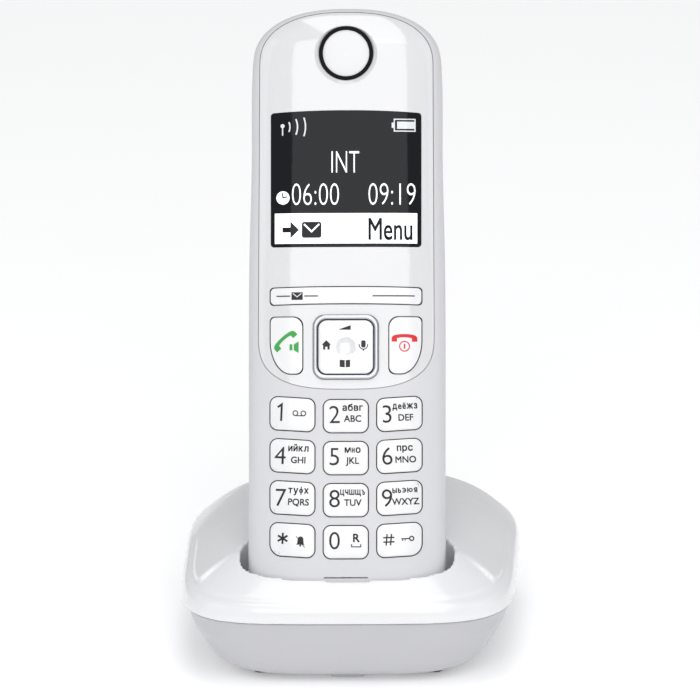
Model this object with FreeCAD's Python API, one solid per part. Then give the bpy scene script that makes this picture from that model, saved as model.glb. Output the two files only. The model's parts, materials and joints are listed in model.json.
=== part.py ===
import FreeCAD, Part
import math
import os
from FreeCAD import Placement, Rotation, Vector

# ---------------------------------------------------------------- handset sizes
# Handset frame: x across, y along it from the bottom end, z out of the front.
HANDSET_LENGTH = 155.0
HANDSET_WIDTH = 49.2
HANDSET_FRONT_DEPTH = 9.5
HANDSET_BACK_DEPTH = 14.0
HANDSET_RECLINE = 22.0
FRONT_SECTION_POWER = 3.2
BACK_SECTION_POWER = 2.7
TOP_ARCH_HEIGHT = 14.6
TOP_ARCH_POWER = 2.35
BOTTOM_ROUND_HEIGHT = 9.3
BOTTOM_FLAT_SHARE = 0.6
SECTION_POINTS = 36

FRONT_WALL = 2.4
BACK_WALL = 1.8
COVER_THICKNESS = 1.2
SEAM = 0.15
KEY_GAP = 0.27
KEY_RISE = 0.45
KEY_TRAVEL = 0.5
KEY_GIVE = 0.55

# Front cover inlay: straight sides, arched top, U-shaped lower end.
COVER_SIDE_MARGIN = 2.7
COVER_TOP_MARGIN = 1.3
COVER_LOW_Y = 59.1
COVER_U_HEIGHT = 13.9
COVER_U_POWER = 2.85

# Display
LENS_WIDTH = 37.5
LENS_HEIGHT = 34.1
LENS_LOW_Y = 94.7
LENS_ARCH = 0.6
LCD_WIDTH = 35.6
LCD_HEIGHT = 32.8

# Keys
KEY_WIDTH = 11.6
KEY_HEIGHT = 8.65
KEY_COLUMN_PITCH = 13.35
KEY_ROW_PITCH = 10.5
KEY_LOW_ROW_Y = 20.8
KEY_OUTER_RISE = 0.55
KEY_SKEW = 4.0
KEY_RADIUS = 2.1
KEY_CORNER_RADIUS = 3.3
SOFTKEY_WIDTH = 38.2
SOFTKEY_HEIGHT = 4.6
SOFTKEY_Y = 82.3
CALL_KEY_OUTER = 19.1
CALL_KEY_INNER = 10.6
CALL_KEY_LOW_Y = 62.7
CALL_KEY_HEIGHT = 14.6
CALL_KEY_SWEEP_WIDTH = 5.4
CALL_KEY_SWEEP_HEIGHT = 8.6
CALL_KEY_TOP_RADIUS = 2.5
CALL_KEY_FOOT_RADIUS = 1.7
CALL_KEY_TIP_RADIUS = 1.2
NAV_WIDTH = 16.4
NAV_HEIGHT = 16.1
NAV_FRAME_BAND = 1.35
NAV_Y = 69.55

# Earpiece and microphone
EAR_TOP_MARGIN = 11.7
EAR_DISH_RADIUS = 7.5
EAR_RING_RADIUS = 6.75
EAR_CAP_RADIUS = 5.8
MIC_Y = 11.9
MIC_SLIT_WIDTH = 11.0
MIC_SLIT_HEIGHT = 0.34
MIC_SLIT_DEPTH = 1.3
MIC_PORT_WIDTH = 2.4

# Battery bay in the back
CELL_DIAMETER = 10.5
CELL_LENGTH = 44.5
CELL_CLEARANCE = 0.07
BAY_LOW_Y = 44.0
BAY_WIDTH = 36.4

# Inside the handset: margins from its sides and ends, then heights above
# the parting plane
BOARD_SIDE_MARGIN = 5.2
BOARD_LOW_MARGIN = 8.5
BOARD_TOP_MARGIN = 7.0
SHEET_MARGIN = 0.5
MAT_MARGIN = 0.25
BOSS_HALF_SPACING = 15.5
BOSS_LENS_GAP = 4.9
CONTACT_HALF_SPACING = 12.3
RINGER_TOP_MARGIN = 34.9
AERIAL_TOP_MARGIN = 15.5
AERIAL_LEG = 4.7
BOARD_LOW = 0.6
BOARD_TOP = 2.2
SHEET_TOP = 2.4
MAT_TOP = 3.2
NUB_TOP = 3.7
KEY_FOOT = NUB_TOP + KEY_GIVE

# ---------------------------------------------------------------- base sizes
BASE_HALF_WIDTH = 42.0
BASE_HALF_DEPTH = 45.0
BASE_PLAN_POWER = 4.7
BASE_UNDERSIDE_Z = 1.2
BASE_SEAM_Z = 17.2
BASE_EDGE_Z = 22.0
BASE_CROWN_Z = 32.4
BASE_WALL = 2.2
BASE_SIDE_LEAN = 8.8
BASE_SIDE_ROLL = 5.0
BASE_FRONT_LEAN = 5.0
BASE_FRONT_ROLL = 4.0
BASE_REAR_FALL = 3.6
APRON_CENTRE_Y = 3.8
APRON_SLOPE = 0.54
CRADLE_SIDE_GAP = 2.1
CRADLE_FRONT_GAP = 0.45
CRADLE_BACK_GAP = 1.3
CRADLE_FLOOR_GAP = 0.5
CRADLE_WALL = 1.9
CRADLE_RELIEF = 0.2
CRADLE_CHECK_Y = 24.8
APRON_DEPTH = 9.0
CRADLE_FRONT_Z = 26.3
HANDSET_SINK = 11.7
POST_SIDE_MARGIN = 18.1
POST_REAR_MARGIN = 22.5
FRONT_POST_X = 8.5
FRONT_POST_MARGIN = 17.1
BASE_BOARD_SIDE_MARGIN = 15.5
BASE_BOARD_FRONT_Y = 0.9
BASE_BOARD_REAR_MARGIN = 11.25
BASE_BOARD_GAP = 0.3
JACK_HALF_SPACING = 11.3
JACK_RECESS = 4.6
FOOT_WIDTH = 10.0
FOOT_DEPTH = 4.0
FOOT_SIDE_MARGIN = 23.5
FOOT_END_MARGIN = 16.0
PAGE_KEY_WIDTH = 8.0
PAGE_KEY_DEPTH = 4.8
PAGE_KEY_GAP = 0.3
PAGE_KEY_INSET = 0.6
PAGE_KEY_LOW_Z = 0.3

os.makedirs("parts", exist_ok=True)


# ---------------------------------------------------------------- helpers
def box(x0, x1, y0, y1, z0, z1):
    return Part.makeBox(x1 - x0, y1 - y0, z1 - z0, Vector(x0, y0, z0))


def tube(x, y, radius, z0, z1):
    return Part.makeCylinder(radius, z1 - z0, Vector(x, y, z0))


def superellipse_point(angle, half_x, half_y, power):
    """Point of a superellipse in the direction of an angle."""
    c = math.cos(angle)
    s = math.sin(angle)
    r = (abs(c) ** power + abs(s) ** power) ** (-1.0 / power)
    return half_x * r * c, half_y * r * s


def closed_curve(points):
    """Smooth closed curve; even parameters keep all sections of a loft alike."""
    steps = [float(i) for i in range(len(points) + 1)]
    curve = Part.BSplineCurve()
    curve.interpolate(Points=points, PeriodicFlag=True, Parameters=steps)
    return Part.Wire([curve.toShape()])


def prism(wire, z0, z1):
    flat = wire.copy()
    flat.translate(Vector(0, 0, z0))
    return Part.Face(flat).extrude(Vector(0, 0, z1 - z0))


def rounded_outline(corners):
    """Closed outline from (x, y, corner radius) in order round it."""
    edges = []
    count = len(corners)
    ends = []
    for i in range(count):
        here = Vector(corners[i][0], corners[i][1], 0)
        back = Vector(corners[i - 1][0], corners[i - 1][1], 0)
        ahead = Vector(corners[(i + 1) % count][0], corners[(i + 1) % count][1], 0)
        to_back = (back - here).normalize()
        to_ahead = (ahead - here).normalize()
        half = 0.5 * to_back.getAngle(to_ahead)
        reach = corners[i][2] / math.tan(half)
        middle = (to_back + to_ahead).normalize()
        centre = here + middle * (corners[i][2] / math.sin(half))
        start = here + to_back * reach
        stop = here + to_ahead * reach
        apex = centre - middle * corners[i][2]
        ends.append((start, stop))
        edges.append(Part.Arc(start, apex, stop).toShape())
    sides = []
    for i in range(count):
        sides.append(edges[i])
        line_start = ends[i][1]
        line_stop = ends[(i + 1) % count][0]
        if (line_stop - line_start).Length > 1e-6:
            sides.append(Part.makeLine(line_start, line_stop))
    return Part.Wire(sides)


def rounded_box_outline(cx, cy, width, height, radius):
    x = 0.5 * width
    y = 0.5 * height
    return rounded_outline([
        (cx - x, cy - y, radius), (cx + x, cy - y, radius),
        (cx + x, cy + y, radius), (cx - x, cy + y, radius)])


# ---------------------------------------------------------------- handset skin
def width_share(y):
    """Share of the full width at a place along the handset."""
    t = min(1.0, max(0.0, (y / HANDSET_LENGTH - 0.5) / 0.4))
    return 1.0 - 0.04 * t * t * (3.0 - 2.0 * t)


def back_share(y):
    """Share of the full back depth: slimmer at the bottom end."""
    t = min(1.0, max(0.0, y / HANDSET_LENGTH / 0.6))
    return 0.86 + 0.14 * t * (2.0 - t)


def stations():
    """Places along the handset with the share left by its rounded ends."""
    found = []
    for step in range(7):
        a = math.radians(15.0 * step)
        y = BOTTOM_ROUND_HEIGHT * (1.0 - math.cos(a) ** 0.8)
        share = BOTTOM_FLAT_SHARE + (1.0 - BOTTOM_FLAT_SHARE) * math.sin(a) ** 0.8
        found.append((y, share))
    straight = HANDSET_LENGTH - BOTTOM_ROUND_HEIGHT - TOP_ARCH_HEIGHT
    for step in range(1, 6):
        found.append((BOTTOM_ROUND_HEIGHT + straight * step / 6.0, 1.0))
    power = 2.0 / TOP_ARCH_POWER
    for degrees in (0.0, 18.0, 35.0, 50.0, 62.0, 72.0, 80.0, 85.5):
        a = math.radians(degrees)
        y = HANDSET_LENGTH - TOP_ARCH_HEIGHT * (1.0 - math.sin(a) ** power)
        found.append((y, math.cos(a) ** power))
    return found


def skin(side=0.0, front=0.0, back=0.0, end=0.0):
    """Handset body, drawn in from its surface by the given amounts."""
    wires = []
    squeeze = (HANDSET_LENGTH - 2.0 * end) / HANDSET_LENGTH
    for y, share in stations():
        half = 0.5 * HANDSET_WIDTH * width_share(y) - side
        deep_front = HANDSET_FRONT_DEPTH - front
        deep_back = HANDSET_BACK_DEPTH * back_share(y) - back
        depth_share = share ** 0.75
        points = []
        for i in range(SECTION_POINTS):
            a = 2.0 * math.pi * i / SECTION_POINTS - 0.5 * math.pi
            if math.sin(a) >= 0.0:
                px, pz = superellipse_point(a, half * share, deep_front * depth_share,
                                            FRONT_SECTION_POWER)
            else:
                px, pz = superellipse_point(a, half * share, deep_back * depth_share,
                                            BACK_SECTION_POWER)
            points.append(Vector(px, end + y * squeeze, pz))
        wires.append(closed_curve(points))
    return Part.makeLoft(wires, True, False)


def shifted(shape, dz):
    moved = shape.copy()
    moved.translate(Vector(0, 0, dz))
    return moved


def cover_outline(grow):
    """Outline of the front cover, grown all round by a gap."""
    half = 0.5 * HANDSET_WIDTH - COVER_SIDE_MARGIN + grow
    top_half = half - 0.3
    low_centre = COVER_LOW_Y + COVER_U_HEIGHT
    top_centre = HANDSET_LENGTH - TOP_ARCH_HEIGHT
    top_height = TOP_ARCH_HEIGHT - COVER_TOP_MARGIN + grow
    low = []
    for i in range(25):
        a = math.pi + math.pi * i / 24.0
        px, py = superellipse_point(a, half, COVER_U_HEIGHT + grow, COVER_U_POWER)
        low.append(Vector(px, low_centre + py, 0))
    high = []
    for i in range(25):
        a = math.pi * i / 24.0
        px, py = superellipse_point(a, top_half, top_height, TOP_ARCH_POWER)
        high.append(Vector(px, top_centre + py, 0))
    low_curve = Part.BSplineCurve()
    low_curve.interpolate(low)
    high_curve = Part.BSplineCurve()
    high_curve.interpolate(high)
    right = Part.makeLine(low[-1], high[0])
    left = Part.makeLine(high[-1], low[0])
    return Part.Wire([low_curve.toShape(), right, high_curve.toShape(), left])


def lens_outline(grow):
    """Display lens: straight sides and a top edge that bows up a little."""
    half = 0.5 * LENS_WIDTH + grow
    low = LENS_LOW_Y - grow
    high = LENS_LOW_Y + LENS_HEIGHT + grow
    radius = 0.9
    points = [
        Vector(-half, high - LENS_ARCH - radius, 0), Vector(-half, low + radius, 0),
        Vector(-half + radius, low, 0), Vector(half - radius, low, 0),
        Vector(half, low + radius, 0), Vector(half, high - LENS_ARCH - radius, 0),
        Vector(half - radius, high - LENS_ARCH, 0),
        Vector(-half + radius, high - LENS_ARCH, 0)]
    nick = radius * (1.0 - math.sqrt(0.5))
    corner = [
        Vector(-half + nick, low + nick, 0), Vector(half - nick, low + nick, 0),
        Vector(half - nick, high - LENS_ARCH - nick, 0),
        Vector(-half + nick, high - LENS_ARCH - nick, 0)]
    return Part.Wire([
        Part.makeLine(points[0], points[1]),
        Part.Arc(points[1], corner[0], points[2]).toShape(),
        Part.makeLine(points[2], points[3]),
        Part.Arc(points[3], corner[1], points[4]).toShape(),
        Part.makeLine(points[4], points[5]),
        Part.Arc(points[5], corner[2], points[6]).toShape(),
        Part.Arc(points[6], Vector(0, high, 0), points[7]).toShape(),
        Part.Arc(points[7], corner[3], points[0]).toShape()])


def number_key_outline(column, row, grow):
    """One key of the four by three block; outer columns lean to the middle."""
    cx = (column - 1) * KEY_COLUMN_PITCH
    cy = KEY_LOW_ROW_Y + (3 - row) * KEY_ROW_PITCH
    lean = 0.0
    if column != 1:
        cy += KEY_OUTER_RISE
        lean = math.tan(math.radians(KEY_SKEW)) * (1 if column == 2 else -1)
    x = 0.5 * KEY_WIDTH + grow
    y = 0.5 * KEY_HEIGHT + grow
    radii = [KEY_RADIUS + grow] * 4
    if row == 3 and column == 0:
        radii[0] = KEY_CORNER_RADIUS + grow
    if row == 3 and column == 2:
        radii[1] = KEY_CORNER_RADIUS + grow
    return rounded_outline([
        (cx - x, cy - y - lean * x, radii[0]), (cx + x, cy - y + lean * x, radii[1]),
        (cx + x, cy + y + lean * x, radii[2]), (cx - x, cy + y - lean * x, radii[3])])


def call_key_outline(side, grow):
    """Talk or end key: square inner edge, outer lower corner swept away in a curve."""
    inner = CALL_KEY_INNER - grow
    outer = CALL_KEY_OUTER + grow
    low = CALL_KEY_LOW_Y - grow
    high = CALL_KEY_LOW_Y + CALL_KEY_HEIGHT + grow
    sweep_x = CALL_KEY_SWEEP_WIDTH + grow
    sweep_y = CALL_KEY_SWEEP_HEIGHT + grow
    nick = 1.0 - math.sqrt(0.5)

    def at(x, y):
        return Vector(side * x, y, 0)

    sweep = []
    for i in range(13):
        a = 0.5 * math.pi * (i / 12.0 - 1.0)
        sweep.append(at(outer - sweep_x * (1.0 - math.cos(a)), low + sweep_y * (1.0 + math.sin(a))))
    curve = Part.BSplineCurve()
    curve.interpolate(sweep)
    top = CALL_KEY_TOP_RADIUS
    foot = CALL_KEY_FOOT_RADIUS
    tip = CALL_KEY_TIP_RADIUS
    return Part.Wire([
        Part.makeLine(at(inner, high - top), at(inner, low + foot)),
        Part.Arc(at(inner, low + foot), at(inner + foot * nick, low + foot * nick),
                 at(inner + foot, low)).toShape(),
        Part.makeLine(at(inner + foot, low), sweep[0]),
        curve.toShape(),
        Part.makeLine(sweep[-1], at(outer, high - tip)),
        Part.Arc(at(outer, high - tip), at(outer - tip * nick, high - tip * nick),
                 at(outer - tip, high)).toShape(),
        Part.makeLine(at(outer - tip, high), at(inner + top, high)),
        Part.Arc(at(inner + top, high), at(inner + top * nick, high - top * nick),
                 at(inner, high - top)).toShape()])


def softkey_outline(grow):
    """Long bar under the display, its edges bowed up a little."""
    half = 0.5 * SOFTKEY_WIDTH + grow
    low = SOFTKEY_Y - 0.5 * SOFTKEY_HEIGHT - grow
    high = SOFTKEY_Y + 0.5 * SOFTKEY_HEIGHT + grow
    r = 1.05
    bow = 0.25
    nick = r * (1.0 - math.sqrt(0.5))
    return Part.Wire([
        Part.makeLine(Vector(-half, high - r, 0), Vector(-half, low + r, 0)),
        Part.Arc(Vector(-half, low + r, 0), Vector(-half + nick, low + nick, 0),
                 Vector(-half + r, low, 0)).toShape(),
        Part.Arc(Vector(-half + r, low, 0), Vector(0, low + bow, 0),
                 Vector(half - r, low, 0)).toShape(),
        Part.Arc(Vector(half - r, low, 0), Vector(half - nick, low + nick, 0),
                 Vector(half, low + r, 0)).toShape(),
        Part.makeLine(Vector(half, low + r, 0), Vector(half, high - r, 0)),
        Part.Arc(Vector(half, high - r, 0), Vector(half - nick, high - nick, 0),
                 Vector(half - r, high, 0)).toShape(),
        Part.Arc(Vector(half - r, high, 0), Vector(0, high + bow, 0),
                 Vector(-half + r, high, 0)).toShape(),
        Part.Arc(Vector(-half + r, high, 0), Vector(-half + nick, high - nick, 0),
                 Vector(-half, high - r, 0)).toShape()])


# ---------------------------------------------------------------- handset placing
RECLINE = math.radians(HANDSET_RECLINE)
ALONG = Vector(0, math.sin(RECLINE), math.cos(RECLINE))
OUT = Vector(0, -math.cos(RECLINE), math.sin(RECLINE))
FOOT = (Vector(0, APRON_DEPTH - BASE_HALF_DEPTH + CRADLE_FRONT_GAP, CRADLE_FRONT_Z)
        - ALONG * HANDSET_SINK - OUT * HANDSET_FRONT_DEPTH)
SEAT = Placement(FOOT, Rotation(Vector(1, 0, 0), 90.0 - HANDSET_RECLINE))

NODES = {}


def keep(name, shape):
    """Store one node, already in the object's frame."""
    NODES[name] = shape


def keep_handset(name, shape):
    """Store one node drawn in the handset's own frame."""
    moved = shape.copy()
    moved.Placement = SEAT.multiply(shape.Placement)
    NODES[name] = moved


# ---------------------------------------------------------------- handset pieces
HIGH = HANDSET_FRONT_DEPTH + 6.0
LOW = -HANDSET_BACK_DEPTH - 6.0
outer = skin()
inner = skin(BACK_WALL, FRONT_WALL, BACK_WALL, BACK_WALL)
wall = outer.cut(inner)
front_wall = wall.common(box(-60, 60, -10, HANDSET_LENGTH + 10, 0, HIGH))
back_wall = wall.common(box(-60, 60, -10, HANDSET_LENGTH + 10, LOW, 0))

under_cover = shifted(outer, -COVER_THICKNESS)
raised = shifted(outer, KEY_RISE)
seam_groove = outer.cut(skin(0.35, 0.35, 0.35, 0.35))
seam_groove = seam_groove.common(box(-60, 60, -10, HANDSET_LENGTH + 10, -0.16, 0.16))

key_outlines = {}
names = ("1", "2", "3", "4", "5", "6", "7", "8", "9", "star", "0", "hash")
for index, label in enumerate(names):
    column = index % 3
    row = index // 3
    key_outlines["key_" + label] = (number_key_outline(column, row, -KEY_GAP),
                                    number_key_outline(column, row, 0.0))
key_outlines["talk_key"] = (call_key_outline(-1, -KEY_GAP), call_key_outline(-1, 0.0))
key_outlines["end_key"] = (call_key_outline(1, -KEY_GAP), call_key_outline(1, 0.0))
key_outlines["softkey_bar"] = (softkey_outline(-KEY_GAP), softkey_outline(0.0))

cover_holes = []
front_holes = []
for name, (_, hole) in key_outlines.items():
    cut = prism(hole, 0.5, HIGH)
    front_holes.append(cut)
    if not name.startswith("key_"):
        cover_holes.append(cut)

nav_outline = rounded_box_outline(0, NAV_Y, NAV_WIDTH, NAV_HEIGHT, 2.9)
nav_seat = prism(rounded_box_outline(0, NAV_Y, NAV_WIDTH + 0.2, NAV_HEIGHT + 0.2, 3.0), 0.5, HIGH)
nav_inner_w = NAV_WIDTH - 2.0 * NAV_FRAME_BAND
nav_inner_h = NAV_HEIGHT - 2.0 * NAV_FRAME_BAND
cover_holes.append(nav_seat)
front_holes.append(nav_seat)

lens_hole = prism(lens_outline(0.1), 0.5, HIGH)
cover_holes.append(lens_hole)
lcd_window = box(-0.5 * LCD_WIDTH - 0.6, 0.5 * LCD_WIDTH + 0.6, LENS_LOW_Y,
                 LENS_LOW_Y + LENS_HEIGHT - 0.6, 0.5, HIGH)

EAR_Y = HANDSET_LENGTH - EAR_TOP_MARGIN
ear_level = HANDSET_FRONT_DEPTH - 0.35
ear_bowl = Part.makeCone(EAR_DISH_RADIUS - 1.4, EAR_DISH_RADIUS + 1.1, 2.5,
                         Vector(0, EAR_Y + 0.2, ear_level - 1.6))
ear_hole = tube(0, EAR_Y, EAR_RING_RADIUS + 0.05, 4.0, HIGH)
cover_holes.append(ear_bowl)
cover_holes.append(ear_hole)
front_holes.append(ear_hole)
mic_low = MIC_Y - 0.5 * MIC_SLIT_HEIGHT
mic_high = MIC_Y + 0.5 * MIC_SLIT_HEIGHT
mic_slit = box(-0.5 * MIC_SLIT_WIDTH, 0.5 * MIC_SLIT_WIDTH, mic_low, mic_high,
               HANDSET_FRONT_DEPTH - MIC_SLIT_DEPTH, HIGH)
mic_port = box(-0.5 * MIC_PORT_WIDTH, 0.5 * MIC_PORT_WIDTH, mic_low, mic_high, BOARD_TOP, HIGH)

cover_pocket = prism(cover_outline(SEAM), 0.5, HIGH).cut(under_cover)
front_shell = front_wall.cut([cover_pocket, lcd_window, mic_slit, mic_port, seam_groove] + front_holes)
boss_y = LENS_LOW_Y - BOSS_LENS_GAP
boss_x = BOSS_HALF_SPACING
bosses = [tube(s * boss_x, boss_y, 2.2, BOARD_TOP, HANDSET_FRONT_DEPTH).common(outer)
          for s in (-1, 1)]
bosses = [b.cut([cover_pocket, tube(s * boss_x, boss_y, 0.9, 0, 6.0)])
          for b, s in zip(bosses, (-1, 1))]
front_shell = front_shell.fuse(bosses)
keep_handset("front_shell", front_shell)

cover = prism(cover_outline(0.0), 0.5, HIGH).common(outer).cut(under_cover)
cover = cover.cut(cover_holes)
keep_handset("front_cover", cover)

lens = prism(lens_outline(0.0), 0.5, HIGH).common(outer).cut(under_cover)
keep_handset("display_lens", lens)

for name, (outline, _) in key_outlines.items():
    keep_handset(name, prism(outline, KEY_FOOT, HIGH).common(raised))

# Ring and key of the four-way control; the key tilts on a hidden gimbal.
nav_raised = shifted(outer, 0.75)
nav_ring = prism(nav_outline, MAT_TOP + 0.3, HIGH).common(nav_raised)
nav_opening = prism(rounded_box_outline(0, NAV_Y, nav_inner_w + 0.5, nav_inner_h + 0.5, 2.3),
                    0.0, HIGH)
nav_ring = nav_ring.cut(nav_opening)
nav_ring = nav_ring.cut(prism(rounded_box_outline(0, NAV_Y, 9.0, NAV_HEIGHT + 2, 0.5), 0, 0.5))
keep_handset("nav_frame", nav_ring)
nav_key = prism(rounded_box_outline(0, NAV_Y, nav_inner_w, nav_inner_h, 2.1), KEY_FOOT + 1.3,
                HIGH).common(nav_raised)
nav_dimple = Part.makeSphere(7.0, Vector(0, NAV_Y, HANDSET_FRONT_DEPTH + 0.75 + 6.6))
nav_key = nav_key.cut(nav_dimple)
keep_handset("nav_key", nav_key)
nav_gimbal = box(-2.6, 2.6, NAV_Y - 2.6, NAV_Y + 2.6, NUB_TOP + 0.45, KEY_FOOT + 0.9)
keep_handset("nav_gimbal", nav_gimbal)

# Earpiece
ear_ring = tube(0, EAR_Y, EAR_RING_RADIUS, ear_level - 2.6, ear_level - 0.5).cut(
    tube(0, EAR_Y, EAR_CAP_RADIUS + 0.05, 0, HIGH))
keep_handset("earpiece_ring", ear_ring)
dome_radius = 38.0
ear_cap = tube(0, EAR_Y, EAR_CAP_RADIUS, ear_level - 2.6, HIGH).common(
    Part.makeSphere(dome_radius, Vector(0, EAR_Y, ear_level - 0.35 - dome_radius)))
ear_floor = tube(0, EAR_Y, EAR_RING_RADIUS, ear_level - 3.2, ear_level - 2.6)
keep_handset("earpiece_cap", ear_cap)
speaker_low = BOARD_TOP
speaker = tube(0, EAR_Y, EAR_CAP_RADIUS - 0.4, speaker_low, ear_level - 3.2)
keep_handset("earpiece_speaker", speaker)
keep_handset("earpiece_gasket", ear_floor)

# Board stack
board_x = 0.5 * HANDSET_WIDTH - BOARD_SIDE_MARGIN
board = box(-board_x, board_x, BOARD_LOW_MARGIN, HANDSET_LENGTH - BOARD_TOP_MARGIN,
            BOARD_LOW, BOARD_TOP)
board = board.common(skin(BACK_WALL + 0.6, FRONT_WALL + 0.5, BACK_WALL + 0.5, BACK_WALL + 0.6))
board = board.cut([tube(s * boss_x, boss_y, 1.0, 0, 6.0) for s in (-1, 1)])
keep_handset("handset_board", board)
keypad_top = SOFTKEY_Y + 0.5 * SOFTKEY_HEIGHT + 0.6
keypad_low = KEY_LOW_ROW_Y - 0.5 * KEY_HEIGHT - 1.0
sheet_x = board_x - SHEET_MARGIN
sheet = box(-sheet_x, sheet_x, keypad_low, keypad_top, BOARD_TOP, SHEET_TOP)
keep_handset("dome_sheet", sheet)
mat_x = board_x - MAT_MARGIN
mat = box(-mat_x, mat_x, keypad_low - 0.5, keypad_top + 0.3, SHEET_TOP, MAT_TOP)
nubs = []
for name, (outline, _) in key_outlines.items():
    if name.startswith("key_"):
        at = outline.BoundBox.Center
        nubs.append(tube(at.x, at.y, 2.4, SHEET_TOP, NUB_TOP))
for side in (-1, 1):
    mid_x = side * 0.5 * (CALL_KEY_INNER + CALL_KEY_OUTER)
    nubs.append(tube(mid_x, CALL_KEY_LOW_Y + 0.5 * CALL_KEY_HEIGHT, 2.4, SHEET_TOP, NUB_TOP))
    nubs.append(tube(side * 0.36 * SOFTKEY_WIDTH, SOFTKEY_Y, 1.6, SHEET_TOP, NUB_TOP))
mat = mat.fuse(nubs)
keep_handset("keypad_mat", mat)
lcd_x = 0.5 * LCD_WIDTH
lcd_y0 = LENS_LOW_Y + 0.6
lcd_y1 = lcd_y0 + LCD_HEIGHT
keep_handset("backlight", box(-lcd_x, lcd_x, lcd_y0, lcd_y1, BOARD_TOP, BOARD_TOP + 1.2))
keep_handset("display_panel", box(-lcd_x, lcd_x, lcd_y0, lcd_y1, BOARD_TOP + 1.2,
                                  BOARD_TOP + 3.4))
keep_handset("microphone", tube(0, MIC_Y, 3.0, BOARD_TOP, BOARD_TOP + 2.2))
ringer_y = HANDSET_LENGTH - RINGER_TOP_MARGIN
keep_handset("ringer", tube(0, ringer_y, 10.0, BOARD_LOW - 4.5, BOARD_LOW))
aerial_y = HANDSET_LENGTH - AERIAL_TOP_MARGIN
antenna = box(-12, 12, aerial_y, aerial_y + 0.8, BOARD_TOP - 4.6, BOARD_LOW).fuse(
    box(-12, -11.2, aerial_y - AERIAL_LEG, aerial_y + 0.8, BOARD_TOP - 4.6, BOARD_LOW))
keep_handset("handset_antenna", antenna)

# Back shell with the battery bay and its cover
bay_x = 0.5 * BAY_WIDTH
bay_y1 = BAY_LOW_Y + CELL_LENGTH + 6.0
bay_outer = box(-bay_x - 1.4, bay_x + 1.4, BAY_LOW_Y - 1.4, bay_y1 + 1.4, LOW, -0.2)
bay_inner = box(-bay_x, bay_x, BAY_LOW_Y, bay_y1, LOW, -1.2)
back_shell = back_wall.fuse(bay_outer.common(outer))
hatch = rounded_box_outline(0, 0.5 * (BAY_LOW_Y + bay_y1), BAY_WIDTH, bay_y1 - BAY_LOW_Y, 4.0)
back_shell = back_shell.cut([bay_inner, seam_groove])
spacers = [tube(s * boss_x, boss_y, 2.2, -0.3, BOARD_LOW) for s in (-1, 1)]
back_shell = back_shell.fuse(spacers)
back_shell = back_shell.cut([tube(s * boss_x, boss_y, 1.0, -3.0, 1.0) for s in (-1, 1)])
grille = [tube(3.0 * i, ringer_y + 3.0 * j, 0.65, LOW, -6.0)
          for i in range(-2, 3) for j in range(-2, 3) if abs(i) + abs(j) < 4]
back_shell = back_shell.cut(grille)
keep_handset("back_shell", back_shell)
hatch_plate = prism(rounded_box_outline(0, 0.5 * (BAY_LOW_Y + bay_y1), BAY_WIDTH - 0.6,
                                        bay_y1 - BAY_LOW_Y - 0.6, 0.4), LOW, -1.0)
hatch_plate = hatch_plate.common(outer).cut(shifted(outer, 1.6))

cell_z = -1.2 - 0.5 * CELL_DIAMETER - 0.05
cell_y0 = BAY_LOW_Y + 3.0
cells = []
cell_rooms = []
terminals = []
for side in (-1, 1):
    cell_x = side * (0.5 * CELL_DIAMETER + 0.4)
    body = Part.makeCylinder(0.5 * CELL_DIAMETER, CELL_LENGTH - 1.0,
                             Vector(cell_x, cell_y0 + (0 if side < 0 else 1.0), cell_z),
                             Vector(0, 1, 0))
    cell_rooms.append(Part.makeCylinder(0.5 * CELL_DIAMETER + CELL_CLEARANCE, CELL_LENGTH,
                                        Vector(cell_x, cell_y0, cell_z), Vector(0, 1, 0)))
    tip_y = cell_y0 + CELL_LENGTH - 1.0 if side < 0 else cell_y0
    tip = Part.makeCylinder(1.9, 1.0, Vector(cell_x, tip_y, cell_z), Vector(0, 1, 0))
    cells.append(body.fuse(tip))
    plate_low = box(cell_x - 4, cell_x + 4, BAY_LOW_Y, BAY_LOW_Y + 0.4, cell_z - 4, cell_z + 4)
    plate_high = box(cell_x - 4, cell_x + 4, bay_y1 - 0.4, bay_y1, cell_z - 4, cell_z + 4)
    post_low = Part.makeCone(3.2, 1.9, 2.6, Vector(cell_x, BAY_LOW_Y + 0.4, cell_z),
                             Vector(0, 1, 0))
    post_high = Part.makeCone(1.9, 3.2, 2.6, Vector(cell_x, bay_y1 - 3.0, cell_z),
                              Vector(0, 1, 0))
    terminals.append(plate_low.fuse(post_low))
    terminals.append(plate_high.fuse(post_high))
keep_handset("battery_cover", hatch_plate.cut(cell_rooms))
keep_handset("battery_cells", Part.makeCompound(cells))
keep_handset("battery_terminals", Part.makeCompound(terminals))

contact_x = CONTACT_HALF_SPACING
contacts = []
for side in (-1, 1):
    pad = box(side * contact_x - 2.5, side * contact_x + 2.5, 0.0, BACK_WALL + 0.4, -4.5, -1.5)
    contacts.append(pad)
contact_group = Part.makeCompound(contacts)
back_shell = NODES["back_shell"]
pockets = contact_group.copy()
pockets.Placement = SEAT.multiply(pockets.Placement)
keep("back_shell", back_shell.cut(pockets))
keep_handset("handset_contacts", contact_group)

screws = []
for side in (-1, 1):
    head = tube(side * boss_x, boss_y, 1.9, -2.4, -1.2)
    shaft = tube(side * boss_x, boss_y, 0.85, -1.2, 5.5)
    screws.append(head.fuse(shaft))
keep_handset("handset_screws", Part.makeCompound(screws))


# ---------------------------------------------------------------- base hull
def plan_wire(half_x, half_y, z, centre_y=0.0, scale=1.0):
    points = []
    for i in range(48):
        a = 2.0 * math.pi * i / 48.0 + 0.5 * math.pi
        px, py = superellipse_point(a, half_x, half_y, BASE_PLAN_POWER)
        points.append(Vector(px * scale, centre_y + (py - centre_y) * scale, z))
    return closed_curve(points)


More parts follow.
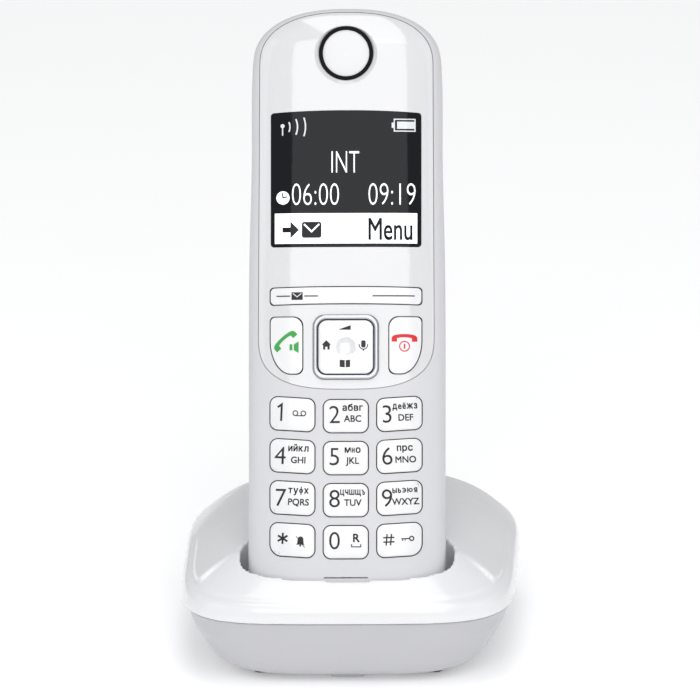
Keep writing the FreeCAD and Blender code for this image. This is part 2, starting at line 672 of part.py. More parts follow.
def crown_height(x, y):
    """Height of the arched top: falls to the sides and gently to the rear."""
    fall = (BASE_CROWN_Z - BASE_EDGE_Z + 0.4) / (BASE_HALF_WIDTH - 1.0) ** 3
    rear = max(0.0, y / BASE_HALF_DEPTH)
    return BASE_CROWN_Z - fall * abs(x) ** 3 - BASE_REAR_FALL * rear ** 2


def edge_height(x, y):
    """Height of the soft edge: level in front, up to the crown behind."""
    t = min(1.0, max(0.0, (y / BASE_HALF_DEPTH + 0.1) / 0.9))
    blend = t * t * (3.0 - 2.0 * t)
    return BASE_EDGE_Z + blend * max(0.0, crown_height(x, y) - 0.4 - BASE_EDGE_Z)


def rim_wire(tuck, inset, share):
    """Outline part way up the upper wall, following the soft edge."""
    points = []
    for i in range(48):
        a = 2.0 * math.pi * i / 48.0 + 0.5 * math.pi
        px, py = superellipse_point(a, BASE_HALF_WIDTH - tuck - inset,
                                    BASE_HALF_DEPTH - tuck - inset, BASE_PLAN_POWER)
        rise = edge_height(px, py) - BASE_SEAM_Z
        points.append(Vector(px, py, BASE_SEAM_Z + rise * share))
    return closed_curve(points)


def hull(inset):
    """Whole base outline from the underside up, drawn in by an amount."""
    floor_z = BASE_UNDERSIDE_Z + inset
    low = []
    for t in (1.0, 0.96, 0.91, 0.84, 0.72, 0.5, 0.25, 0.0):
        z = BASE_SEAM_Z - (BASE_SEAM_Z - floor_z) * t
        side = BASE_SIDE_LEAN * t + BASE_SIDE_ROLL * t ** 10
        front = BASE_FRONT_LEAN * t + BASE_FRONT_ROLL * t ** 10
        low.append(plan_wire(BASE_HALF_WIDTH - side - inset, BASE_HALF_DEPTH - front - inset, z))
    high = [low[-1]]
    for share, tuck in ((0.4, 0.12), (0.7, 0.4), (0.9, 0.9), (1.04, 1.8), (1.12, 3.0)):
        high.append(rim_wire(tuck, inset, share))
    lid = plan_wire(BASE_HALF_WIDTH - 7.0 - inset, BASE_HALF_DEPTH - 7.0 - inset,
                    BASE_CROWN_Z + 6.0)
    pieces = Part.makeLoft(low, False, False).Faces + Part.makeLoft(high, False, False).Faces
    pieces += Part.makeLoft([high[-1], lid], False, True).Faces
    pieces += [Part.Face(low[0]), Part.Face(lid)]
    shell = Part.makeShell(pieces)
    shell.sewShape()
    return Part.makeSolid(shell)


def crown(drop):
    """Everything under the arched top, lowered by an amount."""
    grid = []
    reach_x = BASE_HALF_WIDTH + 4.0
    reach_y = BASE_HALF_DEPTH + 4.0
    for i in range(17):
        x = -reach_x + 2.0 * reach_x * i / 16.0
        row = []
        for j in range(9):
            y = -reach_y + 2.0 * reach_y * j / 8.0
            row.append(Vector(x, y, crown_height(x, y) - drop))
        grid.append(row)
    surface = Part.BSplineSurface()
    surface.interpolate(grid)
    return Part.Face(surface).extrude(Vector(0, 0, -60))


def apron(drop):
    """Sloping front skirt as a cone over the base outline, open behind."""
    lift = APRON_SLOPE * (BASE_HALF_DEPTH - 1.0 + APRON_CENTRE_Y)
    wires = []
    for share in (-0.9, 0.85):
        wires.append(plan_wire(BASE_HALF_WIDTH - 1.0, BASE_HALF_DEPTH - 1.0,
                               BASE_EDGE_Z + lift * share - drop, APRON_CENTRE_Y, 1.0 - share))
    cone = Part.makeLoft(wires, True, True)
    behind = Part.Wire([Part.makeLine(a, b) for a, b in (
        (Vector(0, APRON_CENTRE_Y, 0), Vector(90, APRON_CENTRE_Y - 82, 0)),
        (Vector(90, APRON_CENTRE_Y - 82, 0), Vector(90, 90, 0)),
        (Vector(90, 90, 0), Vector(-90, 90, 0)),
        (Vector(-90, 90, 0), Vector(-90, APRON_CENTRE_Y - 82, 0)),
        (Vector(-90, APRON_CENTRE_Y - 82, 0), Vector(0, APRON_CENTRE_Y, 0)))])
    return cone.fuse(prism(behind, -5.0, 60.0))


def cradle(grow, floor_y):
    """Straight-sided well that follows the handset's lean."""
    points = []
    half = 0.5 * HANDSET_WIDTH + CRADLE_SIDE_GAP + grow
    front = HANDSET_FRONT_DEPTH + CRADLE_FRONT_GAP + grow
    back = HANDSET_BACK_DEPTH * back_share(CRADLE_CHECK_Y) + CRADLE_BACK_GAP + grow
    for i in range(SECTION_POINTS):
        a = 2.0 * math.pi * i / SECTION_POINTS - 0.5 * math.pi
        power = FRONT_SECTION_POWER if math.sin(a) >= 0.0 else BACK_SECTION_POWER
        deep = front if math.sin(a) >= 0.0 else back
        px, pz = superellipse_point(a, half, deep, power)
        points.append(Vector(px, floor_y, pz))
    well = Part.Face(closed_curve(points)).extrude(Vector(0, 60.0, 0))
    well.Placement = SEAT.multiply(well.Placement)
    return well


hull_outer = hull(0.0)
hull_inner = hull(BASE_WALL)
skin_outer = hull_outer.common(crown(0.0)).common(apron(0.0))
skin_inner = hull_inner.common(crown(BASE_WALL)).common(apron(BASE_WALL))
well = cradle(0.0, -CRADLE_FLOOR_GAP)
well_outer = cradle(CRADLE_WALL, -CRADLE_FLOOR_GAP - CRADLE_WALL).common(skin_outer)

above = box(-90, 90, -90, 90, BASE_SEAM_Z, 80)
below = box(-90, 90, -90, 90, -10, BASE_SEAM_Z)
groove = box(-90, 90, -90, 90, BASE_SEAM_Z - 0.2, BASE_SEAM_Z + 0.2).cut(
    prism(plan_wire(BASE_HALF_WIDTH - 0.5, BASE_HALF_DEPTH - 0.5, 0), 0, 40))

post_places = [(s * (BASE_HALF_WIDTH - POST_SIDE_MARGIN), BASE_HALF_DEPTH - POST_REAR_MARGIN)
               for s in (-1, 1)]
front_places = [(s * FRONT_POST_X, FRONT_POST_MARGIN - BASE_HALF_DEPTH) for s in (-1, 1)]
board_z = BASE_UNDERSIDE_Z + BASE_WALL + 2.6
upper = skin_outer.cut(skin_inner).common(above)
posts = [tube(x, y, 2.6, board_z + 1.6, 60).common(skin_outer) for x, y in post_places]
posts += [tube(x, y, 2.6, board_z, 60).common(skin_outer).cut(well) for x, y in front_places]
upper = upper.fuse([well_outer] + posts)
upper = upper.cut([well, groove])
upper = upper.cut([tube(x, y, 0.9, 0, board_z + 6.0) for x, y in post_places])
upper = upper.cut([tube(x, y, 0.9, 0, board_z + 2.6) for x, y in front_places])

pin_x = contact_x
pin_slots = []
for side in (-1, 1):
    slot_box = box(side * pin_x - 1.5 - 0.3, side * pin_x + 1.5 + 0.3,
                   -CRADLE_FLOOR_GAP - CRADLE_WALL - 3, 1.0, -3.9, -2.1)
    slot_box.Placement = SEAT.multiply(slot_box.Placement)
    pin_slots.append(slot_box)
upper = upper.cut(pin_slots)
keep("base_upper_shell", upper)

lower = hull_outer.cut(hull_inner).common(below)
lower = lower.cut(cradle(CRADLE_WALL + CRADLE_RELIEF,
                         -CRADLE_FLOOR_GAP - CRADLE_WALL - CRADLE_RELIEF))
bosses = [tube(x, y, 3.4, BASE_UNDERSIDE_Z, board_z) for x, y in post_places + front_places]
bosses = [b.common(hull_outer) for b in bosses]
lower = lower.fuse(bosses).cut(groove)
lower = lower.cut([tube(x, y, 1.0, 0, 20) for x, y in post_places + front_places])
lower = lower.cut([tube(x, y, 2.3, 0, BASE_UNDERSIDE_Z + 1.4)
                   for x, y in post_places + front_places])

# Sockets at the rear wall
jack_y1 = BASE_HALF_DEPTH - JACK_RECESS
jack_y0 = jack_y1 - 15.0
jack_z0 = board_z + 1.6
dc_x = -JACK_HALF_SPACING
dc_jack = box(dc_x - 4.5, dc_x + 4.5, jack_y0, jack_y1, jack_z0, jack_z0 + 8.0)
dc_bore = Part.makeCylinder(2.8, 10.0, Vector(dc_x, jack_y1 - 10.0, jack_z0 + 4.0),
                            Vector(0, 1, 0))
dc_pin = Part.makeCylinder(0.8, 9.5, Vector(dc_x, jack_y1 - 10.5, jack_z0 + 4.0),
                           Vector(0, 1, 0))
keep("dc_jack", dc_jack.cut(dc_bore).fuse(dc_pin))
line_x = JACK_HALF_SPACING
line_jack = box(line_x - 6.5, line_x + 6.5, jack_y0, jack_y1, jack_z0, jack_z0 + 8.4)
line_bore = box(line_x - 4.9, line_x + 4.9, jack_y1 - 11.0, jack_y1 + 1, jack_z0 + 1.0,
                jack_z0 + 7.2)
keep("line_jack", line_jack.cut(line_bore))
lower = lower.cut([
    box(dc_x - 4.8, dc_x + 4.8, jack_y0, 60, jack_z0 - 0.3, jack_z0 + 8.3),
    box(line_x - 6.8, line_x + 6.8, jack_y0, 60, jack_z0 - 0.3, jack_z0 + 8.7)])

# Feet, paging key and their pockets
foot_outlines = []
for sx in (-1, 1):
    for sy in (-1, 1):
        foot_outlines.append(rounded_box_outline(
            sx * (BASE_HALF_WIDTH - FOOT_SIDE_MARGIN), sy * (BASE_HALF_DEPTH - FOOT_END_MARGIN),
            FOOT_WIDTH, FOOT_DEPTH, 1.6))
feet = [prism(o, 0.0, BASE_UNDERSIDE_Z + 0.8) for o in foot_outlines]
lower = lower.cut(feet)
keep("base_feet", Part.makeCompound(feet))
page_front = BASE_HALF_DEPTH - BASE_FRONT_LEAN - BASE_FRONT_ROLL - PAGE_KEY_INSET
page_y = 0.5 * PAGE_KEY_DEPTH - page_front
page_key = prism(rounded_box_outline(0, page_y, PAGE_KEY_WIDTH, PAGE_KEY_DEPTH, 1.0),
                 PAGE_KEY_LOW_Z, 5.2)
page_stop = box(-5.2, 5.2, page_y - 1.0, page_y + 3.2, 4.2, 5.2)
page_hole = rounded_box_outline(0, page_y, PAGE_KEY_WIDTH + 2.0 * PAGE_KEY_GAP,
                                PAGE_KEY_DEPTH + 2.0 * PAGE_KEY_GAP, 1.3)
lower = lower.cut(prism(page_hole, -1, 8))
keep("paging_key", page_key.fuse(page_stop))
keep("base_lower_shell", lower)

base_board_x = BASE_HALF_WIDTH - BASE_BOARD_SIDE_MARGIN
base_board = box(-base_board_x, base_board_x, BASE_BOARD_FRONT_Y,
                 BASE_HALF_DEPTH - BASE_BOARD_REAR_MARGIN, board_z, board_z + 1.6)
base_board = base_board.common(hull(BASE_WALL + BASE_BOARD_GAP))
base_board = base_board.cut([well_outer] + [tube(x, y, 1.0, 0, 20) for x, y in post_places])
keep("base_board", base_board)
aerials = [box(s * 16.0 - 0.5, s * 16.0 + 0.5, 4.0, 14.0, board_z + 1.6, board_z + 15.0)
           for s in (-1, 1)]
keep("base_antennas", Part.makeCompound(aerials))

base_screws = []
for x, y in post_places + front_places:
    head = tube(x, y, 2.1, BASE_UNDERSIDE_Z + 0.2, BASE_UNDERSIDE_Z + 1.4)
    tip_z = board_z + 5.5 if y > 0 else board_z + 2.3
    shaft = tube(x, y, 0.85, BASE_UNDERSIDE_Z + 1.4, tip_z)
    base_screws.append(head.fuse(shaft))
keep("base_screws", Part.makeCompound(base_screws))

for name, side in (("charge_pin_left", -1), ("charge_pin_right", 1)):
    pin = box(side * pin_x - 1.5, side * pin_x + 1.5, -CRADLE_FLOOR_GAP - CRADLE_WALL - 1.2,
              -0.1, -3.6, -2.4)
    keep_handset(name, pin)

for name, shape in NODES.items():
    shape.exportStep(os.path.join("parts", name + ".step"))
    print(name, round(shape.Volume, 1), len(shape.Solids), shape.isValid())
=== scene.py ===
"""Cordless phone standing in its charging base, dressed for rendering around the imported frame."""
import json
import logging
import math
from dataclasses import dataclass
from enum import Enum
from typing import Optional, Sequence

import bpy
from mathutils import Matrix, Vector

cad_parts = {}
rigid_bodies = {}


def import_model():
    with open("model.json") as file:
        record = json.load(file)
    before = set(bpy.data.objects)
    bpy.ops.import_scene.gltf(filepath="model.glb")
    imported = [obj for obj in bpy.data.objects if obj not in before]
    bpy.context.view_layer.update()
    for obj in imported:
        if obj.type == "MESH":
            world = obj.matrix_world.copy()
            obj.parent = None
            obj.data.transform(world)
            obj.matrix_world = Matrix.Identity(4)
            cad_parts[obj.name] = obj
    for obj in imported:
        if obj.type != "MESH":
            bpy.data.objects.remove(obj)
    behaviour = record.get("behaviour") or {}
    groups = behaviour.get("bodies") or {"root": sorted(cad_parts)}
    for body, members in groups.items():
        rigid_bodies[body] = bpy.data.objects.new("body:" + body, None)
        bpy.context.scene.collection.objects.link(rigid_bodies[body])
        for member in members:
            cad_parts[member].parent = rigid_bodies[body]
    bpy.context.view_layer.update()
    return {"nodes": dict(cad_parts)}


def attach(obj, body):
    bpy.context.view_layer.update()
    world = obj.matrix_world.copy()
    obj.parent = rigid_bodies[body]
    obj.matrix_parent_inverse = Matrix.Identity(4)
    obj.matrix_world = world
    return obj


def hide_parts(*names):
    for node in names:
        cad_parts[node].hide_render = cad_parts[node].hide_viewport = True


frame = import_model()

MM = 0.001
LOG = logging.getLogger("phone")
Point = tuple[float, float]


# ---------- small tools
def srgb(hex_code: str) -> tuple[float, float, float, float]:
    """Turn an sRGB hex value into linear colour.

    Args:
        hex_code: six hex digits.
    Returns:
        Linear red, green, blue and an alpha of one.
    """
    found = []
    for i in (0, 2, 4):
        c = int(hex_code[i:i + 2], 16) / 255.0
        found.append(c / 12.92 if c <= 0.04045 else ((c + 0.055) / 1.055) ** 2.4)
    return (found[0], found[1], found[2], 1.0)


def add_node(tree: bpy.types.NodeTree, kind: str, settings: Optional[dict] = None,
             links: Optional[dict] = None) -> bpy.types.Node:
    """Add one shader node.

    Args:
        tree: the material's node tree.
        kind: the node's type name.
        settings: socket names to values, or attribute names where no socket has the name.
        links: input socket names to the output sockets that feed them.
    Returns:
        The new node.
    """
    node = tree.nodes.new(kind)
    for name, value in (settings or {}).items():
        if name in node.inputs:
            node.inputs[name].default_value = value
        else:
            setattr(node, name, value)
    for name, output in (links or {}).items():
        tree.links.new(output, node.inputs[name])
    return node


def deselect() -> None:
    """Deselect every object."""
    for thing in bpy.context.view_layer.objects:
        thing.select_set(False)


def pick(thing: bpy.types.Object) -> None:
    """Make one object the only selected and active one.

    Args:
        thing: the object.
    """
    deselect()
    thing.select_set(True)
    bpy.context.view_layer.objects.active = thing


def join(things: Sequence[bpy.types.Object], name: str) -> bpy.types.Object:
    """Join meshes into one.

    Args:
        things: the meshes.
        name: the joined piece's name.
    Returns:
        The joined mesh.
    """
    pick(things[0])
    for thing in things[1:]:
        thing.select_set(True)
    if len(things) > 1:
        bpy.ops.object.join()
    joined = bpy.context.view_layer.objects.active
    joined.name = name
    joined.data.name = name
    return joined


def settle(thing: bpy.types.Object) -> None:
    """Move an object's place into its mesh, so that it sits at the origin."""
    pick(thing)
    bpy.ops.object.transform_apply(location=True, rotation=True, scale=True)


def apply_modifiers(thing: bpy.types.Object) -> None:
    """Apply all of an object's modifiers in order.

    Args:
        thing: the object.
    """
    pick(thing)
    for modifier in list(thing.modifiers):
        bpy.ops.object.modifier_apply(modifier=modifier.name)


def dress(thing: bpy.types.Object, material: bpy.types.Material) -> None:
    """Give an object one material all over."""
    thing.data.materials.clear()
    thing.data.materials.append(material)


# ---------- finishes
@dataclass(frozen=True)
class Finish:
    """A moulded, plated or printed surface, named for the real material.

    grain_mm is the size of the texture's grains and grain_depth_mm how far it stands up.
    tint is a second colour that drifts through the first over drift_mm, and wear is how
    much rougher the surface gets in smudges of smudge_mm.
    """
    name: str
    colour: str
    roughness: float = 0.4
    metallic: float = 0.0
    ior: float = 1.5
    coat: float = 0.0
    grain_mm: float = 0.5
    grain_depth_mm: float = 0.0
    grain_strength: float = 0.3
    tint: str = ""
    drift_mm: float = 18.0
    wear: float = 0.0
    smudge_mm: float = 9.0
    coat_roughness: float = 0.03
    glow: float = 0.0

    def make(self) -> bpy.types.Material:
        """Build the node material, or find it where it was built before.

        Returns:
            The material.
        """
        known = bpy.data.materials.get(self.name)
        if known:
            return known
        material = bpy.data.materials.new(self.name)
        material.use_nodes = True
        tree = material.node_tree
        tree.nodes.clear()
        output = add_node(tree, "ShaderNodeOutputMaterial")
        shader = add_node(tree, "ShaderNodeBsdfPrincipled", {
            "Base Color": srgb(self.colour), "Roughness": self.roughness,
            "Metallic": self.metallic, "Coat Weight": self.coat,
            "Coat Roughness": self.coat_roughness})
        if self.metallic < 0.5:
            shader.inputs["IOR"].default_value = self.ior
        place = add_node(tree, "ShaderNodeTexCoord").outputs["Object"]
        self.add_colour(tree, shader, place)
        self.add_roughness(tree, shader, place)
        self.add_grain(tree, shader, place)
        if self.glow > 0.0:
            shader.inputs["Emission Color"].default_value = srgb(self.colour)
            shader.inputs["Emission Strength"].default_value = self.glow
        tree.links.new(shader.outputs["BSDF"], output.inputs["Surface"])
        return material

    def add_colour(self, tree: bpy.types.NodeTree, shader: bpy.types.Node,
                   place: bpy.types.NodeSocket) -> None:
        """Let the second colour drift through the first, as moulding does.

        Args:
            tree: the material's node tree.
            shader: the surface's main node.
            place: the output that gives object coordinates.
        """
        if not self.tint:
            return
        drift = add_node(tree, "ShaderNodeTexNoise",
                         {"Scale": 1.0 / (self.drift_mm * MM), "Detail": 2.0},
                         {"Vector": place})
        mix = add_node(tree, "ShaderNodeMix", {"data_type": "RGBA"})
        colours = [s for s in mix.inputs if s.type == "RGBA"]
        colours[0].default_value = srgb(self.colour)
        colours[1].default_value = srgb(self.tint)
        tree.links.new(drift.outputs["Fac"], mix.inputs[0])
        result = [s for s in mix.outputs if s.type == "RGBA"][0]
        tree.links.new(result, shader.inputs["Base Color"])

    def add_roughness(self, tree: bpy.types.NodeTree, shader: bpy.types.Node,
                      place: bpy.types.NodeSocket) -> None:
        """Vary the gloss a little, as handling and moulding leave it.

        Args:
            tree: the material's node tree.
            shader: the surface's main node.
            place: the output that gives object coordinates.
        """
        if self.wear <= 0.0:
            return
        smudge = add_node(tree, "ShaderNodeTexNoise",
                          {"Scale": 1.0 / (self.smudge_mm * MM), "Detail": 4.0},
                          {"Vector": place})
        spread = add_node(tree, "ShaderNodeMapRange",
                          {"To Min": self.roughness, "To Max": self.roughness + self.wear},
                          {"Value": smudge.outputs["Fac"]})
        tree.links.new(spread.outputs["Result"], shader.inputs["Roughness"])

    def add_grain(self, tree: bpy.types.NodeTree, shader: bpy.types.Node,
                  place: bpy.types.NodeSocket) -> None:
        """Add the moulded texture as bump.

        Args:
            tree: the material's node tree.
            shader: the surface's main node.
            place: the output that gives object coordinates.
        """
        if self.grain_depth_mm <= 0.0:
            return
        grain = add_node(tree, "ShaderNodeTexNoise",
                         {"Scale": 1.0 / (self.grain_mm * MM), "Detail": 3.0},
                         {"Vector": place})
        bump = add_node(tree, "ShaderNodeBump",
                        {"Distance": self.grain_depth_mm * MM, "Strength": self.grain_strength},
                        {"Height": grain.outputs["Fac"]})
        tree.links.new(bump.outputs["Normal"], shader.inputs["Normal"])


# Spark-textured ABS moulding: soft broad sheen over a fine even grain.
SATIN_ABS = Finish("satin_white_abs", "d7d7d9", 0.42, grain_mm=0.28, grain_depth_mm=0.012,
                   grain_strength=0.5, tint="d3d3d6", wear=0.08)
# Polished ABS under a clear hard coat: sharp reflections with a faint long ripple.
GLOSS_ABS = Finish("gloss_white_abs", "dfdfe0", 0.09, coat=0.7, grain_mm=14.0,
                   grain_depth_mm=0.02, grain_strength=0.12, tint="dcdcde", wear=0.03)
# Key caps, polished ABS without the hard coat: whiter than the shell and slightly softer.
KEY_ABS = Finish("gloss_key_cap_abs", "ededee", 0.16, coat=0.3, grain_mm=3.0,
                 grain_depth_mm=0.004, grain_strength=0.1, tint="eaeaeb", wear=0.05)
# Upper moulding of the base: polished but broad, so highlights along the edges are soft.
BASE_ABS = Finish("polished_base_abs", "ececee", 0.17, coat=0.4, grain_mm=10.0,
                  grain_depth_mm=0.015, grain_strength=0.12, tint="e8e8ea", wear=0.05)
# Lower moulding of the base: a fine satin, greyer than the upper one; the grey is painted shade,
# set darker to stand for the shade on the base's lower sides.
BASE_LOWER_ABS = Finish("satin_base_abs", "c3c3c6", 0.36, grain_mm=0.3, grain_depth_mm=0.01,
                        grain_strength=0.4, tint="bfbfc3", wear=0.06)
# Pearl lacquer on the four-way key: bright, with a cold sheen.
PEARL = Finish("pearl_lacquered_abs", "e9e9ea", 0.12, metallic=0.12, coat=0.5, grain_mm=0.2,
               grain_depth_mm=0.001, grain_strength=0.2, tint="e9eaec", wear=0.04)
# Chrome-effect lacquer on the ring: silver, with reflections that darken at its flanks.
CHROME_LACQUER = Finish("chrome_effect_lacquer", "b4b5b8", 0.13, metallic=0.9, grain_mm=0.4,
                        grain_depth_mm=0.001, grain_strength=0.2, tint="abacb0", wear=0.05)
# Hard-coated acrylic over a black mask: near black with mirror reflections.
LENS_ACRYLIC = Finish("black_masked_acrylic", "17181b", 0.05, ior=1.27,
                      grain_mm=20.0, grain_depth_mm=0.01, grain_strength=0.08, tint="17181b",
                      wear=0.015)
# Matt black gasket round the earpiece: it swallows the light.
GASKET_BLACK = Finish("matt_black_gasket", "0a0a0a", 0.6, ior=1.25, grain_mm=0.3,
                      grain_depth_mm=0.01, tint="0d0d0d", wear=0.1)
# Moulded black parts inside and at the sockets: satin, nearly black.
BLACK_ABS = Finish("satin_black_abs", "141414", 0.35, grain_mm=0.3, grain_depth_mm=0.01,
                   tint="191919", wear=0.1)
# Key mat: a dull rubbery grey without clear reflections.
SILICONE = Finish("grey_silicone", "4b4c4e", 0.6, ior=1.41, grain_mm=0.4,
                  grain_depth_mm=0.01, tint="444547", wear=0.1)
# Feet and speaker seal: coarse dark rubber that barely shines.
FOOT_RUBBER = Finish("dark_foot_rubber", "1c1c1d", 0.75, grain_mm=0.35, grain_depth_mm=0.03,
                     grain_strength=0.6, tint="242425", wear=0.1)
# Film over the key domes: a yellowish half-gloss sheet.
DOME_FILM = Finish("dome_film", "c9c2a4", 0.35, tint="c2ba98", wear=0.1)
# Circuit boards: dark green lacquer with a wet gloss.
SOLDER_MASK = Finish("green_solder_mask", "14522e", 0.3, coat=0.3, grain_mm=1.2,
                     grain_depth_mm=0.02, tint="0f4526", wear=0.1)
# Screws: blue-grey steel with a worn, blurred shine.
ZINC = Finish("zinc_plated_steel", "a9adb0", 0.32, metallic=1.0, grain_mm=0.3,
              grain_depth_mm=0.004, tint="9ea2a5", wear=0.15)
# Contacts, pins and aerials: warm bright metal.
NICKEL = Finish("nickel_plated_brass", "c9c4b8", 0.2, metallic=1.0, grain_mm=0.4,
                grain_depth_mm=0.003, tint="bfb9ab", wear=0.12)
# Shrink film round the two cells: deep green with a tight gloss.
CELL_FILM = Finish("green_shrink_film", "2b5a38", 0.25, coat=0.3, grain_mm=2.0,
                   grain_depth_mm=0.02, tint="26522f", wear=0.08)
# Film behind the display: milky and even.
DIFFUSER = Finish("white_diffuser_film", "dcdfe2", 0.5, tint="d5d8dc", wear=0.08)
# Pad-printed inks lie flat on the caps and are matt beside them; the pale grey one is not ink but
# painted shade, laid like a print.
INK_BLACK = Finish("black_pad_print_ink", "161616", 0.45, tint="1c1c1c", wear=0.1)
# Painted shade: a pale grey for the shade on the rim of the four-way key's middle dimple.
DIMPLE_SHADE_PAINT = Finish("painted_dimple_shade", "d9dadc", 0.4, tint="d4d5d8", wear=0.1)
INK_GREEN = Finish("green_pad_print_ink", "35a043", 0.4, tint="3aa648", wear=0.1)
INK_RED = Finish("red_pad_print_ink", "dc1c26", 0.4, tint="d61922", wear=0.1)
# Lit pixels seen through the lens.
PIXEL_WHITE = Finish("lit_display_pixels", "f4f6f8", 0.06, ior=1.49, coat=0.3, glow=0.55,
                     tint="f4f6f8")
PIXEL_GREY = Finish("lit_display_symbols", "c6c9cc", 0.06, ior=1.49, coat=0.3, glow=0.35,
                    tint="c6c9cc")
PIXEL_DARK = Finish("unlit_display_pixels", "1b1d20", 0.06, ior=1.27, tint="1d1f22")
# Floor: matt white paper that keeps a soft shadow.
FLOOR = Finish("seamless_paper", "fcfcfc", 0.8, tint="fafafa", glow=0.2)

NODE_FINISHES = {
    SATIN_ABS: ("front_shell", "back_shell", "battery_cover"),
    GLOSS_ABS: ("front_cover", "earpiece_cap"),
    KEY_ABS: ("key_1", "key_2", "key_3", "key_4", "key_5", "key_6", "key_7", "key_8", "key_9",
              "key_star", "key_0", "key_hash", "talk_key", "end_key", "softkey_bar"),
    BASE_ABS: ("base_upper_shell",),
    BASE_LOWER_ABS: ("base_lower_shell", "paging_key"),
    PEARL: ("nav_frame", "nav_key"),
    LENS_ACRYLIC: ("display_lens", "display_panel"),
    GASKET_BLACK: ("earpiece_ring",),
    BLACK_ABS: ("earpiece_speaker", "ringer", "nav_gimbal", "dc_jack",
                "line_jack"),
    SILICONE: ("keypad_mat",),
    FOOT_RUBBER: ("earpiece_gasket", "base_feet"),
    DOME_FILM: ("dome_sheet",),
    SOLDER_MASK: ("handset_board", "base_board"),
    ZINC: ("handset_screws", "base_screws"),
    NICKEL: ("microphone", "handset_antenna", "battery_terminals", "handset_contacts",
             "base_antennas", "charge_pin_left", "charge_pin_right"),
    CELL_FILM: ("battery_cells",),
    DIFFUSER: ("backlight",),
}


# ---------- the handset's own frame
@dataclass(frozen=True)
class HandsetSeat:
    """Where the handset stands in the cradle: x across, y along it, z out of its front."""
    recline_deg: float = 22.0
    cradle_front_y: float = -36.0
    cradle_front_z: float = 26.3
    front_gap: float = 0.45
    sink: float = 11.7
    front_depth: float = 9.5

    def matrix(self) -> Matrix:
        """Work out where the handset's frame lies.

        Returns:
            Matrix from the handset's frame, in metres, to the row frame.
        """
        lean = math.radians(self.recline_deg)
        along = Vector((0.0, math.sin(lean), math.cos(lean)))
        out = Vector((0.0, -math.cos(lean), math.sin(lean)))
        foot = Vector((0.0, self.cradle_front_y + self.front_gap, self.cradle_front_z))
        foot = foot - along * self.sink - out * self.front_depth
        turn = Matrix.Rotation(math.radians(90.0) - lean, 4, "X")
        return Matrix.Translation(foot * MM) @ turn


class Side(Enum):
    """Left or right of the handset, seen from its front."""
    LEFT = -1
    MIDDLE = 0
    RIGHT = 1


# ---------- flat artwork
CAP_SHARE = 0.7  # height of a capital against the font's own size


class Artwork:
    """Flat shapes in the handset's plane, in millimetres, gathered for one print."""

    def __init__(self, x: float = 0.0, y: float = 0.0, lean_deg: float = 0.0) -> None:
        """Start an empty print.

        Args:
            x: where the print's own origin lies across the handset.
            y: where it lies along the handset.
            lean_deg: how far the print is turned.
        """
        self.x = x
        self.y = y
        self.lean = math.radians(lean_deg)
        self.shapes: list[bpy.types.Object] = []

    def put(self, p: Point) -> tuple[float, float, float]:
        """Turn a point of the print into metres in the handset's frame.

        Args:
            p: the point, in millimetres.
        Returns:
            The place, at zero height.
        """
        c = math.cos(self.lean)
        s = math.sin(self.lean)
        return ((self.x + p[0] * c - p[1] * s) * MM, (self.y + p[0] * s + p[1] * c) * MM, 0.0)

    def area(self, *loops: Sequence[Point]) -> "Artwork":
        """Fill the space inside closed loops; an inner loop is left open.

        Args:
            loops: each a list of points round the shape.
        Returns:
            This print.
        """
        deselect()
        data = bpy.data.curves.new("area", "CURVE")
        data.dimensions = "2D"
        data.fill_mode = "BOTH"
        for loop in loops:
            line = data.splines.new("POLY")
            line.points.add(len(loop) - 1)
            for point, p in zip(line.points, loop):
                point.co = (*self.put(p), 1.0)
            line.use_cyclic_u = True
        thing = bpy.data.objects.new("area", data)
        bpy.context.collection.objects.link(thing)
        pick(thing)
        bpy.ops.object.convert(target="MESH")
        self.shapes.append(bpy.context.view_layer.objects.active)
        return self

    def box(self, x: float, y: float, width: float, height: float,
            radius: float = 0.0) -> "Artwork":
        """Fill a rectangle about a centre, with rounded corners if radius is above zero."""
        return self.area(rounded_box(x, y, width, height, radius))

    def disc(self, x: float, y: float, radius: float, hole: float = 0.0) -> "Artwork":
        """Fill a disc or, with a hole, a ring.

        Args:
            x: centre across.
            y: centre along.
            radius: outer radius.
            hole: inner radius, or zero.
        Returns:
            This print.
        """
        loops = [arc(x, y, radius, 0.0, 360.0)[:-1]]
        if hole > 0.0:
            loops.append(arc(x, y, hole, 0.0, 360.0)[:-1])
        return self.area(*loops)

    def stroke(self, points: Sequence[Point], width: float, closed: bool = False) -> "Artwork":
        """Draw a line of even width through points, with mitred corners.

        Args:
            points: the line's middle.
            width: the line's width.
            closed: whether it joins up.
        Returns:
            This print.
        """
        left = offset(points, 0.5 * width, closed)
        right = offset(points, -0.5 * width, closed)
        if closed:
            return self.area(left, right)
        return self.area(left + right[::-1])

    def text(self, body: str, x: float, y: float, height: float, squeeze: float = 1.0,
             weight: float = 0.0) -> "Artwork":
        """Set text about a centre.

        Args:
            body: the characters.
            x: centre across.
            y: middle of the capitals' height.
            height: the capitals' height.
            squeeze: width against the font's own.
            weight: how much bolder each stroke is, in millimetres; below zero it is thinner.
        Returns:
            This print.
        """
        if weight > 0.0:
            half = 0.5 * weight
            for dx, dy in ((-half, -half), (half, -half), (-half, half), (half, half)):
                self.text(body, x + dx, y + dy, height, squeeze)
            return self
        deselect()
        bpy.ops.object.text_add(location=(0.0, 0.0, 0.0))
        thing = bpy.context.object
        size = height / CAP_SHARE
        thing.data.body = body
        thing.data.align_x = "CENTER"
        thing.data.size = size * MM
        thing.data.offset = 0.5 * weight * MM
        thing.data.resolution_u = 4
        bpy.ops.object.convert(target="MESH")
        thing = bpy.context.view_layer.objects.active
        for vertex in thing.data.vertices:
            px = vertex.co.x / MM * squeeze + x
            py = vertex.co.y / MM + y - 0.5 * height
            vertex.co = self.put((px, py))
        self.shapes.append(thing)
        return self


